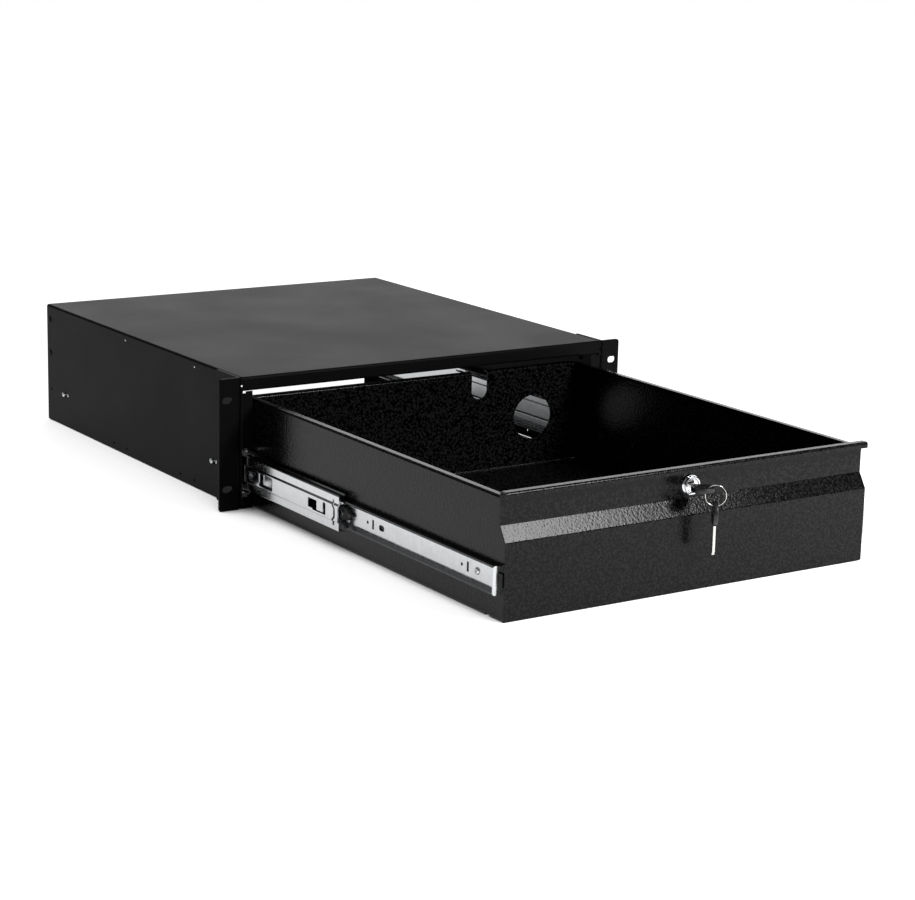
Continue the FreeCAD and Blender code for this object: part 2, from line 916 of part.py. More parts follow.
def drawer_slide():
    """Inner member on the drawer's wall, closed by a nose tab in front, with its groups of a pilot hole,
    a slot, and a screw hole or an adjusting slot."""
    section = mirrored_section(
        [
            ("runner_reach", "runner_half - runner_lip"),
            ("runner_reach + runner_lip_lean", "runner_half", "race_bend"),
            ("slide_space", "runner_half", "slide_bend"),
        ]
    )
    channel = fold("runner_channel", "XZ", section, "runner_front", "runner_length", "runner_gauge", "right")
    nose = block(
        "runner_nose",
        "XZ",
        [
            (depth("slide_space"), level("runner_gauge - runner_half")),
            (depth("runner_reach"), level("runner_gauge - runner_half")),
            (depth("runner_reach"), level("runner_half - runner_gauge")),
            (depth("slide_space"), level("runner_half - runner_gauge")),
        ],
        "runner_front",
        "runner_gauge",
    )
    start = depth("slide_space - 2 * runner_gauge")
    through = "3 * runner_gauge"
    tip = rod("runner_tip", "X", "tip_hole_radius", through, start, "runner_front + tip_hole_back",
              level("tip_hole_up"))
    holes = [tip]
    for i in range(3):
        back = f"screw_front + {i} * screw_step"
        slot_front = f"{back} + screw_slot_lead - screw_slot_long / 2"
        holes.append(slot_box(f"runner_slot_{i}", slot_front, "screw_slot_long", "screw_slot_high"))
        pilot_back = f"{back} + pilot_lead"
        holes.append(rod(f"runner_pilot_{i}", "X", "pilot_radius", through, start, pilot_back, "slide_level"))
        if i in SCREWED:
            holes.append(rod(f"runner_hole_{i}", "X", "shank_radius", through, start, back, "slide_level"))
        else:
            adjust = ("adjust_long", "adjust_high", start, through, back, "slide_level")
            holes.append(slot(f"runner_adjust_{i}", "YZ", "across", *adjust))
    pin = rod(
        "runner_pin_hole",
        "X",
        "lever_pin",
        "3 * runner_gauge",
        depth("slide_space - 2 * runner_gauge"),
        "lever_pivot",
        "slide_level",
    )
    member = cut("drawer_slide", fuse("runner_closed", [channel, nose]), holes + [pin])
    finish_pair("drawer_slide", place(member, back=DRAWER_SHIFT))


OUTER_BALL_UP = "(cabinet_half - slide_gauge - ball_play - outer_ball)"
INNER_BALL_UP = "(middle_half - middle_gauge - ball_play - inner_ball)"
BALLS_PER_ROW = 4


def ball_rows(kind, name, up, grow=0):
    """Both rows of balls of one cage, or the pockets for them when grown."""
    balls = []
    for i in range(BALLS_PER_ROW):
        step = f"{i} * ({kind}_cage_length - 2 * cage_margin) / {BALLS_PER_ROW - 1}"
        back = f"{kind}_cage_front + cage_margin + {step}"
        for sign in (-1, 1):
            sphere = bind(add("Part::Sphere", f"{name}_{i}_{sign + 1}"), Radius=f"{kind}_ball + {grow}")
            balls.append(place(sphere, depth(f"{kind}_ball_depth"), back, level(f"({sign}) * {up}")))
    return balls


def ball_cage(kind, up, shift):
    """A thin strip bent round both ball rows, and the balls that it spaces."""
    front = f"{kind}_cage_front"
    length = f"{kind}_cage_length"
    section = mirrored_section(
        [
            (f"{kind}_cage_reach", f"{up} + cage_gauge / 2"),
            (f"{kind}_cage_depth", f"{up} + cage_gauge / 2", "cage_bend"),
        ]
    )
    strip = fold(f"{kind}_strip", "XZ", section, front, length, "cage_gauge", "left")
    pockets = ball_rows(kind, f"{kind}_pocket", up, "cage_hole_play")
    cage = cut(f"{kind}_cage", strip, pockets)
    finish_pair(f"{kind}_cage", place(cage, back=shift))
    balls = group(f"{kind}_balls", ball_rows(kind, f"{kind}_ball", up))
    finish_pair(f"{kind}_balls", place(balls, back=shift))


def bumpers():
    """Rubber stops: one behind each middle member, and a pad on the nose of each drawer member."""
    rear = block(
        "rear_bumper",
        "YZ",
        [
            ("cabinet_front + cabinet_length - bumper_long", level("-bumper_half"), "head_round"),
            ("cabinet_front + cabinet_length", level("-bumper_half")),
            ("cabinet_front + cabinet_length", level("bumper_half")),
            ("cabinet_front + cabinet_length - bumper_long", level("bumper_half"), "head_round"),
        ],
        depth("slide_gauge"),
        "bumper_reach - slide_gauge",
    )
    finish_pair("rear_bumper", rear)
    front = block(
        "front_bumper",
        "YZ",
        [
            ("runner_front - bumper_long", level("-pad_half"), "head_round"),
            ("runner_front", level("-pad_half")),
            ("runner_front", level("pad_half")),
            ("runner_front - bumper_long", level("pad_half"), "head_round"),
        ],
        depth("slide_space - pad_thick"),
        "pad_thick",
    )
    finish_pair("front_bumper", place(front, back=DRAWER_SHIFT))


def pan_screw(name, head, rise, length):
    """A round-headed screw along local Z: the head rises from height 0, the shank goes down."""
    return turned(
        name,
        [
            (0, f"-({length})"),
            ("shank_radius", f"-({length})"),
            ("shank_radius", 0),
            (head, 0),
            (head, rise, "head_round"),
            (0, rise),
        ],
    )


def cabinet_slide_screws():
    left = []
    for i, back in enumerate(("case_screw_front", "case_screw_rear")):
        screw = pan_screw(f"case_screw_{i}", "head_radius", "head_rise", "case_gauge + slide_gauge")
        left.append(place(screw, f"-{CASE_HALF}", back, "slide_level", FreeCAD.Rotation(Y_AXIS, -90)))
    side = group("case_screws_left", left)
    finish("cabinet_slide_screws", group("case_screws", [side, mirror("case_screws_right", side)]))


def drawer_slide_screws():
    left = []
    grip = "runner_gauge + box_gauge"
    for i in SCREWED:
        screw = pan_screw(f"runner_screw_{i}", "runner_head_radius", "runner_head_rise", grip)
        across = depth("slide_space - runner_gauge")
        back = f"screw_front + {i} * screw_step - drawer_open"
        left.append(place(screw, across, back, "slide_level", FreeCAD.Rotation(Y_AXIS, -90)))
    side = group("runner_screws_left", left)
    finish("drawer_slide_screws", group("runner_screws", [side, mirror("runner_screws_right", side)]))


def release_levers():
    """Plastic latch on each drawer member: an eye on its pin, a finger forward and a tongue to the rear."""
    face = "slide_space - runner_gauge - fold_gap"
    tongue = block(
        "lever_tongue",
        "YZ",
        [
            ("lever_pivot - lever_finger", level("-lever_tip / 2"), "lever_tip / 3"),
            ("lever_pivot - lever_half", level("-lever_half"), "lever_half / 2"),
            ("lever_pivot + lever_half", level("-lever_half"), "lever_half / 2"),
            ("lever_pivot + lever_long", level("-lever_tip"), "lever_tip / 3"),
            ("lever_pivot + lever_long", level("lever_tip"), "lever_tip / 3"),
            ("lever_pivot + lever_half", level("lever_half"), "lever_half / 2"),
            ("lever_pivot - lever_half", level("lever_half"), "lever_half / 2"),
            ("lever_pivot - lever_finger", level("lever_tip / 2"), "lever_tip / 3"),
        ],
        depth(f"{face} - lever_thick"),
        "lever_thick",
    )
    eye = rod(
        "lever_eye",
        "X",
        "lever_pin + pin_play",
        "3 * lever_thick",
        depth(f"{face} - 2 * lever_thick"),
        "lever_pivot",
        "slide_level",
    )
    finish_pair("release_lever", place(cut("release_lever", tongue, [eye]), back=DRAWER_SHIFT))
    pin = turned(
        "lever_pin",
        [
            (0, 0),
            ("lever_pin", 0),
            ("lever_pin", "runner_gauge + lever_thick + 2 * fold_gap"),
            ("pin_head", "runner_gauge + lever_thick + 2 * fold_gap"),
            ("pin_head", "runner_gauge + lever_thick + 2 * fold_gap + pin_head_rise"),
            (0, "runner_gauge + lever_thick + 2 * fold_gap + pin_head_rise"),
        ],
    )
    place(pin, f"-{BOX_HALF}", "lever_pivot - drawer_open", "slide_level", FreeCAD.Rotation(Y_AXIS, -90))
    finish("lever_pins", group("lever_pins", [pin, mirror("lever_pin_twin", pin)]))


# ---------------------------------------------------------------- drawer box


def front_trim():
    """The space in front of the front panel's back face, taken off the tray."""
    return block(
        "front_trim",
        "YZ",
        [
            ("-recess_depth", f"{BOX_FOOT} - box_gauge"),
            ("box_gauge", f"{BOX_FOOT} - box_gauge"),
            ("box_gauge", f"band_foot - {BAND_MITRE}", "box_bend - box_gauge"),
            ("recess_depth + box_gauge", f"recess_floor - {BAND_MITRE}", "box_bend"),
            ("recess_depth + box_gauge", f"{LIP_TOP} + box_gauge"),
            ("-recess_depth", f"{LIP_TOP} + box_gauge"),
        ],
        f"-{BOX_HALF} - box_gauge",
        f"2 * {BOX_HALF} + 2 * box_gauge",
    )


def drawer_tray():
    """Floor and side walls in one sheet, each wall hemmed inward along its top."""
    folded = fold(
        "tray_folded",
        "XZ",
        [
            (f"box_hem - {BOX_HALF}", BOX_TOP),
            (f"-{BOX_HALF}", BOX_TOP, "box_bend"),
            (f"-{BOX_HALF}", BOX_FOOT, "box_bend"),
            (BOX_HALF, BOX_FOOT, "box_bend"),
            (BOX_HALF, BOX_TOP, "box_bend"),
            (f"{BOX_HALF} - box_hem", BOX_TOP),
        ],
        "box_gauge",
        "box_depth - box_gauge",
        "box_gauge",
        "left",
    )
    cutters = [front_trim()]
    across = f"-{BOX_HALF} - box_gauge"
    reach = f"2 * {BOX_HALF} + 2 * box_gauge"
    relief_long = "box_gauge + 2 * box_bend"
    relief = rod("tray_relief", "X", "relief_radius", relief_long, across, "relief_back", BOX_FOOT)
    cutters += [relief, mirror("tray_relief_twin", relief)]
    for i in SCREWED:
        back = f"screw_front + {i} * screw_step"
        cutters.append(rod(f"tray_hole_{i}", "X", "shank_radius", reach, across, back, "slide_level"))
    cutters.append(
        slot(
            "tray_slot",
            "YZ",
            "across",
            "wall_slot_long",
            "wall_slot_high",
            across,
            reach,
            "box_depth - wall_slot_rear",
            "slide_level",
        )
    )
    tray = cut("drawer_tray", folded, cutters)
    finish("drawer_tray", place(tray, back=DRAWER_SHIFT))


def drawer_rear_panel():
    """Back of the drawer, flanged forward inside the walls and hemmed rearward along its top, with a
    round cable hole and an open notch."""
    half = f"({BOX_HALF} - box_gauge)"
    folded = fold(
        "back_folded",
        "XY",
        [
            (f"-{half}", "box_depth - back_flange"),
            (f"-{half}", "box_depth", "box_bend"),
            (half, "box_depth", "box_bend"),
            (half, "box_depth - back_flange"),
        ],
        f"{BOX_FOOT} + box_bend",
        "box_height - 2 * box_bend",
        "box_gauge",
        "right",
    )
    hem_half = f"({BOX_HALF} - box_hem - back_hem_gap)"
    hem = fold(
        "back_hem",
        "YZ",
        [
            ("box_depth - box_gauge", f"{BOX_TOP} - 2 * box_bend"),
            ("box_depth - box_gauge", BOX_TOP, "box_bend"),
            ("box_depth + back_hem", BOX_TOP),
        ],
        f"-{hem_half}",
        f"2 * {hem_half}",
        "box_gauge",
        "right",
    )
    start = "box_depth - 2 * box_gauge"
    hole = rod("cable_hole", "Y", "cable_radius", "3 * box_gauge", "cable_across", start, "cable_level")
    notch = block(
        "cable_notch",
        "XZ",
        [
            ("notch_across - notch_width / 2", f"{BOX_TOP} + box_gauge"),
            ("notch_across - notch_width / 2", f"{BOX_TOP} - notch_depth", "notch_width * 0.49"),
            ("notch_across + notch_width / 2", f"{BOX_TOP} - notch_depth", "notch_width * 0.49"),
            ("notch_across + notch_width / 2", f"{BOX_TOP} + box_gauge"),
        ],
        start,
        "3 * box_gauge + back_hem",
    )
    panel = cut("drawer_rear_panel", fuse("back_hemmed", [folded, hem]), [hole, notch])
    finish("drawer_rear_panel", place(panel, back=DRAWER_SHIFT))


def drawer_front_panel():
    """Front of the drawer: an upright face, a slanted band, a recess for the lock and a pull lip over it."""
    under = f"{LIP_TOP} - box_gauge"
    folded = fold(
        "front_folded",
        "YZ",
        [
            (0, BOX_FOOT),
            (0, "band_foot", "box_bend"),
            ("recess_depth", "recess_floor", "box_bend - box_gauge"),
            ("recess_depth", under, "box_bend - box_gauge"),
            ("box_gauge", under, "box_bend - box_gauge"),
            ("box_gauge", f"{LIP_TOP} - lip_face"),
        ],
        f"-{BOX_HALF}",
        f"2 * {BOX_HALF}",
        "box_gauge",
        "right",
    )
    hole = rod(
        "lock_hole",
        "Y",
        "barrel_radius + barrel_play",
        "4 * box_gauge",
        0,
        "recess_depth - box_gauge",
        "lock_level",
    )
    finish("drawer_front_panel", place(cut("drawer_front_panel", folded, [hole]), back=DRAWER_SHIFT))


# ---------------------------------------------------------------- lock and keys

INTO_LOCK = FreeCAD.Rotation(X_AXIS, -90)


def at_lock(item, back="0"):
    """Stand a piece drawn along local Z on the lock's axis, its height 0 on the recessed face."""
    return place(item, 0, f"{LOCK_FACE} + {back}", "lock_level", INTO_LOCK)


def lock_body():
    """Bezel and threaded barrel, bored for the plug and flattened on two sides."""
    shell = turned(
        "lock_shell",
        [
            ("plug_radius + plug_play", "-bezel_rise"),
            ("bezel_radius", "-bezel_rise", "bezel_round"),
            ("bezel_radius", 0),
            ("barrel_radius", 0),
            ("barrel_radius", "barrel_long"),
            ("plug_radius + plug_play", "barrel_long"),
        ],
    )
    flats = []
    for i, sign in enumerate((-1, 1)):
        flats.append(
            block(
                f"lock_flat_{i}",
                "XY",
                [
                    (f"({sign}) * barrel_flat", "-bezel_radius"),
                    (f"({sign}) * 2 * barrel_flat", "-bezel_radius"),
                    (f"({sign}) * 2 * barrel_flat", "bezel_radius"),
                    (f"({sign}) * barrel_flat", "bezel_radius"),
                ],
                "box_gauge",
                "barrel_long",
            )
        )
    finish("lock_body", at_lock(cut("lock_body", shell, flats)))
    nut = add("Part::Prism", "nut_hexagon")
    nut.Polygon = 6
    bind(nut, Circumradius="nut_flat / cos(30)", Height="nut_thick")
    bore = rod("nut_bore", "Z", "barrel_radius + plug_play", "3 * nut_thick", 0, 0, "-nut_thick")
    finish("lock_nut", at_lock(cut("lock_nut", nut, [bore]), "box_gauge"))


def lock_plug():
    """Turning plug with its keyway; the cam and its screw sit on the plug's tail."""
    core_long = "barrel_long + bezel_rise - plug_sink + cam_gap"
    core = rod("plug_core", "Z", "plug_radius", core_long, 0, 0, "plug_sink - bezel_rise")
    half = "(blade_half + keyway_play)"
    thick = "(blade_thick / 2 + keyway_play)"
    keyway = block(
        "keyway",
        "XY",
        [(f"-{half}", f"-{thick}"), (half, f"-{thick}"), (half, thick), (f"-{half}", thick)],
        "-bezel_rise",
        "blade_long - key_stand + keyway_spare",
    )
    shank_foot = "barrel_long + cam_gap + cam_thick - cam_shank_long"
    bore = rod("cam_screw_bore", "Z", "cam_shank_radius", "cam_shank_long", 0, 0, shank_foot)
    finish("lock_plug", at_lock(cut("lock_plug", core, [keyway, bore])))
    cam = block(
        "cam_plate",
        "XY",
        [
            ("cam_half", "-cam_half", "cam_half * 0.9"),
            ("cam_half", "cam_half", "cam_half * 0.9"),
            ("-cam_long", "cam_half * 0.8", "cam_half / 3"),
            ("-cam_long", "-cam_half * 0.8", "cam_half / 3"),
        ],
        0,
        "cam_thick",
    )
    eye = rod("cam_eye", "Z", "cam_shank_radius", "3 * cam_thick", 0, 0, "-cam_thick")
    finish("lock_cam", at_lock(cut("lock_cam", cam, [eye]), "barrel_long + cam_gap"))
    screw = turned(
        "cam_screw",
        [
            (0, "-cam_shank_long"),
            ("cam_shank_radius", "-cam_shank_long"),
            ("cam_shank_radius", 0),
            ("cam_screw_radius", 0),
            ("cam_screw_radius", "cam_screw_rise", "head_round"),
            (0, "cam_screw_rise"),
        ],
    )
    finish("cam_screw", at_lock(screw, "barrel_long + cam_gap + cam_thick"))


def key_pieces(name):
    """A key along local Z: the blade goes up from height 0, the grip with its ring hole goes down."""
    blade = block(
        f"{name}_blade",
        "XZ",
        [
            ("-blade_half", 0),
            ("blade_half", 0),
            ("blade_half", "blade_long - blade_half"),
            (0, "blade_long"),
            ("-blade_half", "blade_long - blade_half"),
        ],
        "-blade_thick / 2",
        "blade_thick",
    )
    grip = block(
        f"{name}_grip_plate",
        "XZ",
        [
            ("-grip_half * 0.6", 0, "grip_round / 3"),
            ("-grip_half", "-grip_long * 0.45", "grip_round"),
            ("-grip_half * 0.8", "-grip_long", "grip_round"),
            ("grip_half * 0.8", "-grip_long", "grip_round"),
            ("grip_half", "-grip_long * 0.45", "grip_round"),
            ("grip_half * 0.6", 0, "grip_round / 3"),
        ],
        "-grip_thick / 2",
        "grip_thick",
    )
    hole_up = "grip_hole_inset - grip_long"
    hole = rod(f"{name}_hole", "Y", "grip_hole", "3 * grip_thick", 0, "-1.5 * grip_thick", hole_up)
    return blade, cut(f"{name}_grip", grip, [hole])


def keys_and_ring():
    """One key in the lock, and a spare that hangs from the split ring in its grip."""
    blade, grip = key_pieces("key")
    stand = "(-bezel_rise - key_stand)"
    finish("key_blade", at_lock(blade, stand))
    finish("key_grip", at_lock(grip, stand))

    hole_back = f"({LOCK_FACE} + {stand} + grip_hole_inset - grip_long)"
    ring_across = "(ring_radius * cos(ring_hang) * cos(ring_turn))"
    ring_back = f"({hole_back} - ring_radius * cos(ring_hang) * sin(ring_turn))"
    ring_up = "(lock_level - ring_radius * sin(ring_hang))"
    facing = FreeCAD.Rotation(Z_AXIS, -value("ring_turn"))

    coils = []
    for i, side in enumerate((-1, 1)):
        coil = bind(add("Part::Torus", f"ring_coil_{i}"), Radius1="ring_radius", Radius2="ring_wire")
        coils.append(place(coil, up=f"({side}) * (ring_wire * 0.8)"))
    ring = fuse("key_ring", coils)
    finish("key_ring", place(ring, ring_across, ring_back, ring_up, facing * FreeCAD.Rotation(X_AXIS, 90)))

    spare_blade, spare_grip = key_pieces("spare")
    head_up = f"({ring_up} - ring_radius + ring_wire + ring_gap - grip_hole + grip_hole_inset - grip_long)"
    upside = facing * FreeCAD.Rotation(X_AXIS, 180) * FreeCAD.Rotation(Z_AXIS, 90)
    finish("spare_key_blade", place(spare_blade, ring_across, ring_back, head_up, upside))
    finish("spare_key_grip", place(spare_grip, ring_across, ring_back, head_up, upside))


# ---------------------------------------------------------------- build, check, write

case_cover()
case_rear_panel()
rear_rivets()
ear_bracket()
ear_screws()
lock_strike()
cabinet_slide()
middle_slide()
drawer_slide()
ball_cage("outer", OUTER_BALL_UP, OUTER_CAGE_SHIFT)
ball_cage("inner", INNER_BALL_UP, INNER_CAGE_SHIFT)
bumpers()
cabinet_slide_screws()
drawer_slide_screws()
release_levers()
drawer_tray()
drawer_rear_panel()
drawer_front_panel()
lock_body()
lock_plug()
keys_and_ring()

doc.recompute()

for item in doc.Objects:
    if {"Invalid", "Error"} & set(item.State):
        raise RuntimeError(f"{item.Name} did not rebuild: {item.State}")
for item in nodes:
    if item.Shape.isNull() or not item.Shape.isValid():
        raise RuntimeError(f"{item.Label} has no sound shape")

os.makedirs("parts", exist_ok=True)
for item in nodes:
    item.Shape.exportStep(f"parts/{item.Label}.step")
    box = item.Shape.BoundBox
    print(f"{item.Label:24s} solids {len(item.Shape.Solids):2d}  volume {item.Shape.Volume:10.1f}  "
          f"X {box.XMin:7.1f}..{box.XMax:7.1f}  Y {box.YMin:7.1f}..{box.YMax:7.1f}  "
          f"Z {box.ZMin:6.1f}..{box.ZMax:6.1f}")
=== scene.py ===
"""Studio view and finishes of a lockable sliding rack drawer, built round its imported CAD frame."""

import math

import bmesh
import bpy
from mathutils import Matrix, Vector


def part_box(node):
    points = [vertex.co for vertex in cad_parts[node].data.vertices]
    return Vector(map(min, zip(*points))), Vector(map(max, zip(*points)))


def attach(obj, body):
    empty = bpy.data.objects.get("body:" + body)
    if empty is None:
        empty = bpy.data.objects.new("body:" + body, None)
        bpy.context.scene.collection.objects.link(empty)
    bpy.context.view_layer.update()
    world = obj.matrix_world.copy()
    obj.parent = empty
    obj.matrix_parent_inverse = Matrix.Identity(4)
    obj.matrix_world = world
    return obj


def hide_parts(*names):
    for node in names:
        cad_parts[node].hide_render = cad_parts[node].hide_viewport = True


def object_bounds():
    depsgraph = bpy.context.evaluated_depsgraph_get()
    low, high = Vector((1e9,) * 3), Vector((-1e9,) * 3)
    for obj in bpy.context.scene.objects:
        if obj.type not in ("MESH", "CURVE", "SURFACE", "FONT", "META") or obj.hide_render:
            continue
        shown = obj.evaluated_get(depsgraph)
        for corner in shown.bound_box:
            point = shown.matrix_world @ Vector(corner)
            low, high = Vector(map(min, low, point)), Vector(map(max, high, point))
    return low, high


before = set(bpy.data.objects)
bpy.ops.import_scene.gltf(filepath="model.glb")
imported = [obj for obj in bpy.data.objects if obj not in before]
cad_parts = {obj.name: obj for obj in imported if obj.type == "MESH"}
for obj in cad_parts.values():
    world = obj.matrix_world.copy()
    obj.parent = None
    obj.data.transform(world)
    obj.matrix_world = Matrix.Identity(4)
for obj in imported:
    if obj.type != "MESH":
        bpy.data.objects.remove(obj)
CAD_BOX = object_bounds()

bl_info = {
    "name": "Sliding rack drawer",
    "version": (1, 0, 0),
    "blender": (4, 5, 0),
    "location": "3D View > Sidebar > Rack Drawer",
    "description": "Finishes, fastenings, lock, keys and studio for a sliding rack drawer",
    "category": "Object",
}

MM = 0.001
SAME_POINT = 0.001 * MM
FRONT_SHEET = 1.5 * MM
SAME_PLANE_DEGREES = 0.4
SHEARED_EDGE_DEGREES = 40
CAD_SMOOTH_DEGREES = 28
MESH_SMOOTH_DEGREES = 32


# ------------------------------------------------------------------ settings a user would change


def hex_to_linear(text):
    """An sRGB hex colour as linear red, green, blue and alpha."""
    channels = [int(text[i : i + 2], 16) / 255 for i in (1, 3, 5)]
    linear = [c / 12.92 if c <= 0.04045 else ((c + 0.055) / 1.055) ** 2.4 for c in channels]
    return (*linear, 1.0)


def length(name, description, millimetres):
    """A setting for a length, with its default in millimetres."""
    return bpy.props.FloatProperty(
        name=name, description=description, default=millimetres * MM, unit="LENGTH", precision=5
    )


def colour(name, description, text):
    """A setting for a colour, with its default in sRGB hex."""
    return bpy.props.FloatVectorProperty(
        name=name, description=description, default=hex_to_linear(text), subtype="COLOR", size=4, min=0, max=1
    )


class DrawerSizes(bpy.types.PropertyGroup):
    """Sizes of the details that dress the CAD frame."""

    edge: length("Edge break", "Rounding that the coating leaves on sheared edges", 0.3)
    hammer_grain: length("Hammer grain", "Spacing of the pebbles in the drawer's coating", 2.4)
    peel_grain: length("Coating grain", "Spacing of the fine grain in the case's coating", 1.1)
    thread_pitch: length("Thread pitch", "Pitch of the lock barrel's thread", 1.0)
    bitting_step: length("Bitting step", "Distance from one key cut to the next", 3.6)


class DrawerColours(bpy.types.PropertyGroup):
    """Colours of the finishes, before light."""

    case_coat: colour("Case coating", "Powder coating of the case and ears", "#0f0f10")
    drawer_coat: colour("Drawer coating", "Hammered powder coating of the drawer", "#121213")
    zinc: colour("Zinc", "Bright zinc plating of the slides", "#c6c8ca")
    chrome: colour("Chrome", "Chrome plating of the lock", "#e2e4e6")
    nickel: colour("Nickel", "Nickel plating of keys and ring", "#cfcdc8")
    plastic: colour("Plastic", "Moulded grips and levers", "#121213")
    rubber: colour("Rubber", "Slide stops", "#121212")
    steel: colour("Bearing steel", "Polished balls", "#c9cbcd")
    paper: colour("Studio paper", "Floor and backdrop", "#f4f4f4")


# ------------------------------------------------------------------ material helpers


def new_material(name):
    """A material with an empty node tree."""
    material = bpy.data.materials.new(name)
    material.use_nodes = True
    material.node_tree.nodes.clear()
    return material


def node(tree, kind, sockets=None, **settings):
    """Add a node, set its properties, and set or link its inputs by name or number."""
    made = tree.nodes.new(kind)
    for key, setting in settings.items():
        setattr(made, key, setting)
    for key, given in (sockets or {}).items():
        if isinstance(given, bpy.types.NodeSocket):
            tree.links.new(given, made.inputs[key])
        else:
            made.inputs[key].default_value = given
    return made


def per_metre(spacing):
    """Texture scale at which one cell of the pattern takes this many metres."""
    return 1 / spacing


def hammered_coat(name, tint, grain):
    """Hammer-finish powder coating baked on steel: as it cures, the film draws up into pebbles with
    narrow valleys between them, over a fairly glossy black. Each pebble has its own small glint from the
    bump, and the base colour adds a painted highlight on each crest and painted shade in each valley. The
    real pebbles are nearer 2 mm; they are drawn a little coarser so that they show."""
    material = new_material(name)
    tree = material.node_tree
    place = node(tree, "ShaderNodeTexCoord").outputs["Object"]
    drift = node(
        tree, "ShaderNodeTexNoise", {"Vector": place, "Scale": per_metre(1.5 * grain), "Detail": 1.0}
    )
    wander = node(
        tree,
        "ShaderNodeVectorMath",
        {0: drift.outputs["Color"], 1: (grain, grain, grain), 2: place},
        operation="MULTIPLY_ADD",
    )
    pebbles = node(
        tree,
        "ShaderNodeTexVoronoi",
        {"Vector": wander.outputs["Vector"], "Scale": per_metre(grain), "Smoothness": 0.7},
        feature="SMOOTH_F1",
    )
    fine = node(tree, "ShaderNodeTexNoise", {"Vector": place, "Scale": per_metre(grain / 2), "Detail": 2.0})
    height = node(
        tree,
        "ShaderNodeMix",
        {"Factor": 0.35, "A": pebbles.outputs["Distance"], "B": fine.outputs["Fac"]},
        data_type="FLOAT",
    )
    bump = node(
        tree,
        "ShaderNodeBump",
        {"Height": height.outputs["Result"], "Distance": 0.19 * MM, "Strength": 1.0},
        invert=True,
    )
    clouds = node(tree, "ShaderNodeTexNoise", {"Vector": place, "Scale": per_metre(70 * MM), "Detail": 3.0})
    gloss = node(
        tree,
        "ShaderNodeMapRange",
        {
            "Value": clouds.outputs["Fac"],
            "From Min": 0.35,
            "From Max": 0.65,
            "To Min": 0.18,
            "To Max": 0.21,
        },
    )
    # Painted light: the base colour is painted up to 2.6 times lighter on the pebble crests as a painted
    # highlight, and down to 0.05 of it in the valleys as painted shade.
    painted_pebble_light = node(
        tree,
        "ShaderNodeMapRange",
        {
            "Value": pebbles.outputs["Distance"],
            "From Min": 0.15,
            "From Max": 0.6,
            "To Min": 2.6,
            "To Max": 0.05,
        },
    )
    paint = node(
        tree,
        "ShaderNodeVectorMath",
        {0: tint[:3], "Scale": painted_pebble_light.outputs["Result"]},
        operation="SCALE",
    )
    coat = node(
        tree,
        "ShaderNodeBsdfPrincipled",
        {
            "Base Color": paint.outputs["Vector"],
            "Roughness": gloss.outputs["Result"],
            "Specular IOR Level": 0.14,
            "Normal": bump.outputs["Normal"],
        },
    )
    node(tree, "ShaderNodeOutputMaterial", {"Surface": coat.outputs["BSDF"]})
    return material


def fine_coat(name, tint, grain):
    """Fine-textured powder coating baked on steel: a tight sandy grain that turns reflections into an
    even sheen. The real grain is about 0.4 mm; it is drawn coarser so that it shows."""
    material = new_material(name)
    tree = material.node_tree
    place = node(tree, "ShaderNodeTexCoord").outputs["Object"]
    grit = node(
        tree,
        "ShaderNodeTexNoise",
        {"Vector": place, "Scale": per_metre(grain), "Detail": 3.0, "Roughness": 0.6},
    )
    bump = node(
        tree, "ShaderNodeBump", {"Height": grit.outputs["Fac"], "Distance": 0.1 * MM, "Strength": 1.0}
    )
    speck = node(
        tree,
        "ShaderNodeMapRange",
        {"Value": grit.outputs["Fac"], "From Min": 0.35, "From Max": 0.65, "To Min": 0.4, "To Max": 1.8},
    )
    paint = node(
        tree, "ShaderNodeVectorMath", {0: tint[:3], "Scale": speck.outputs["Result"]}, operation="SCALE"
    )
    clouds = node(tree, "ShaderNodeTexNoise", {"Vector": place, "Scale": per_metre(90 * MM), "Detail": 3.0})
    gloss = node(
        tree,
        "ShaderNodeMapRange",
        {
            "Value": clouds.outputs["Fac"],
            "From Min": 0.35,
            "From Max": 0.65,
            "To Min": 0.4,
            "To Max": 0.44,
        },
    )
    coat = node(
        tree,
        "ShaderNodeBsdfPrincipled",
        {
            "Base Color": paint.outputs["Vector"],
            "Roughness": gloss.outputs["Result"],
            "Specular IOR Level": 0.035,
            "Normal": bump.outputs["Normal"],
        },
    )
    node(tree, "ShaderNodeOutputMaterial", {"Surface": coat.outputs["BSDF"]})
    return material


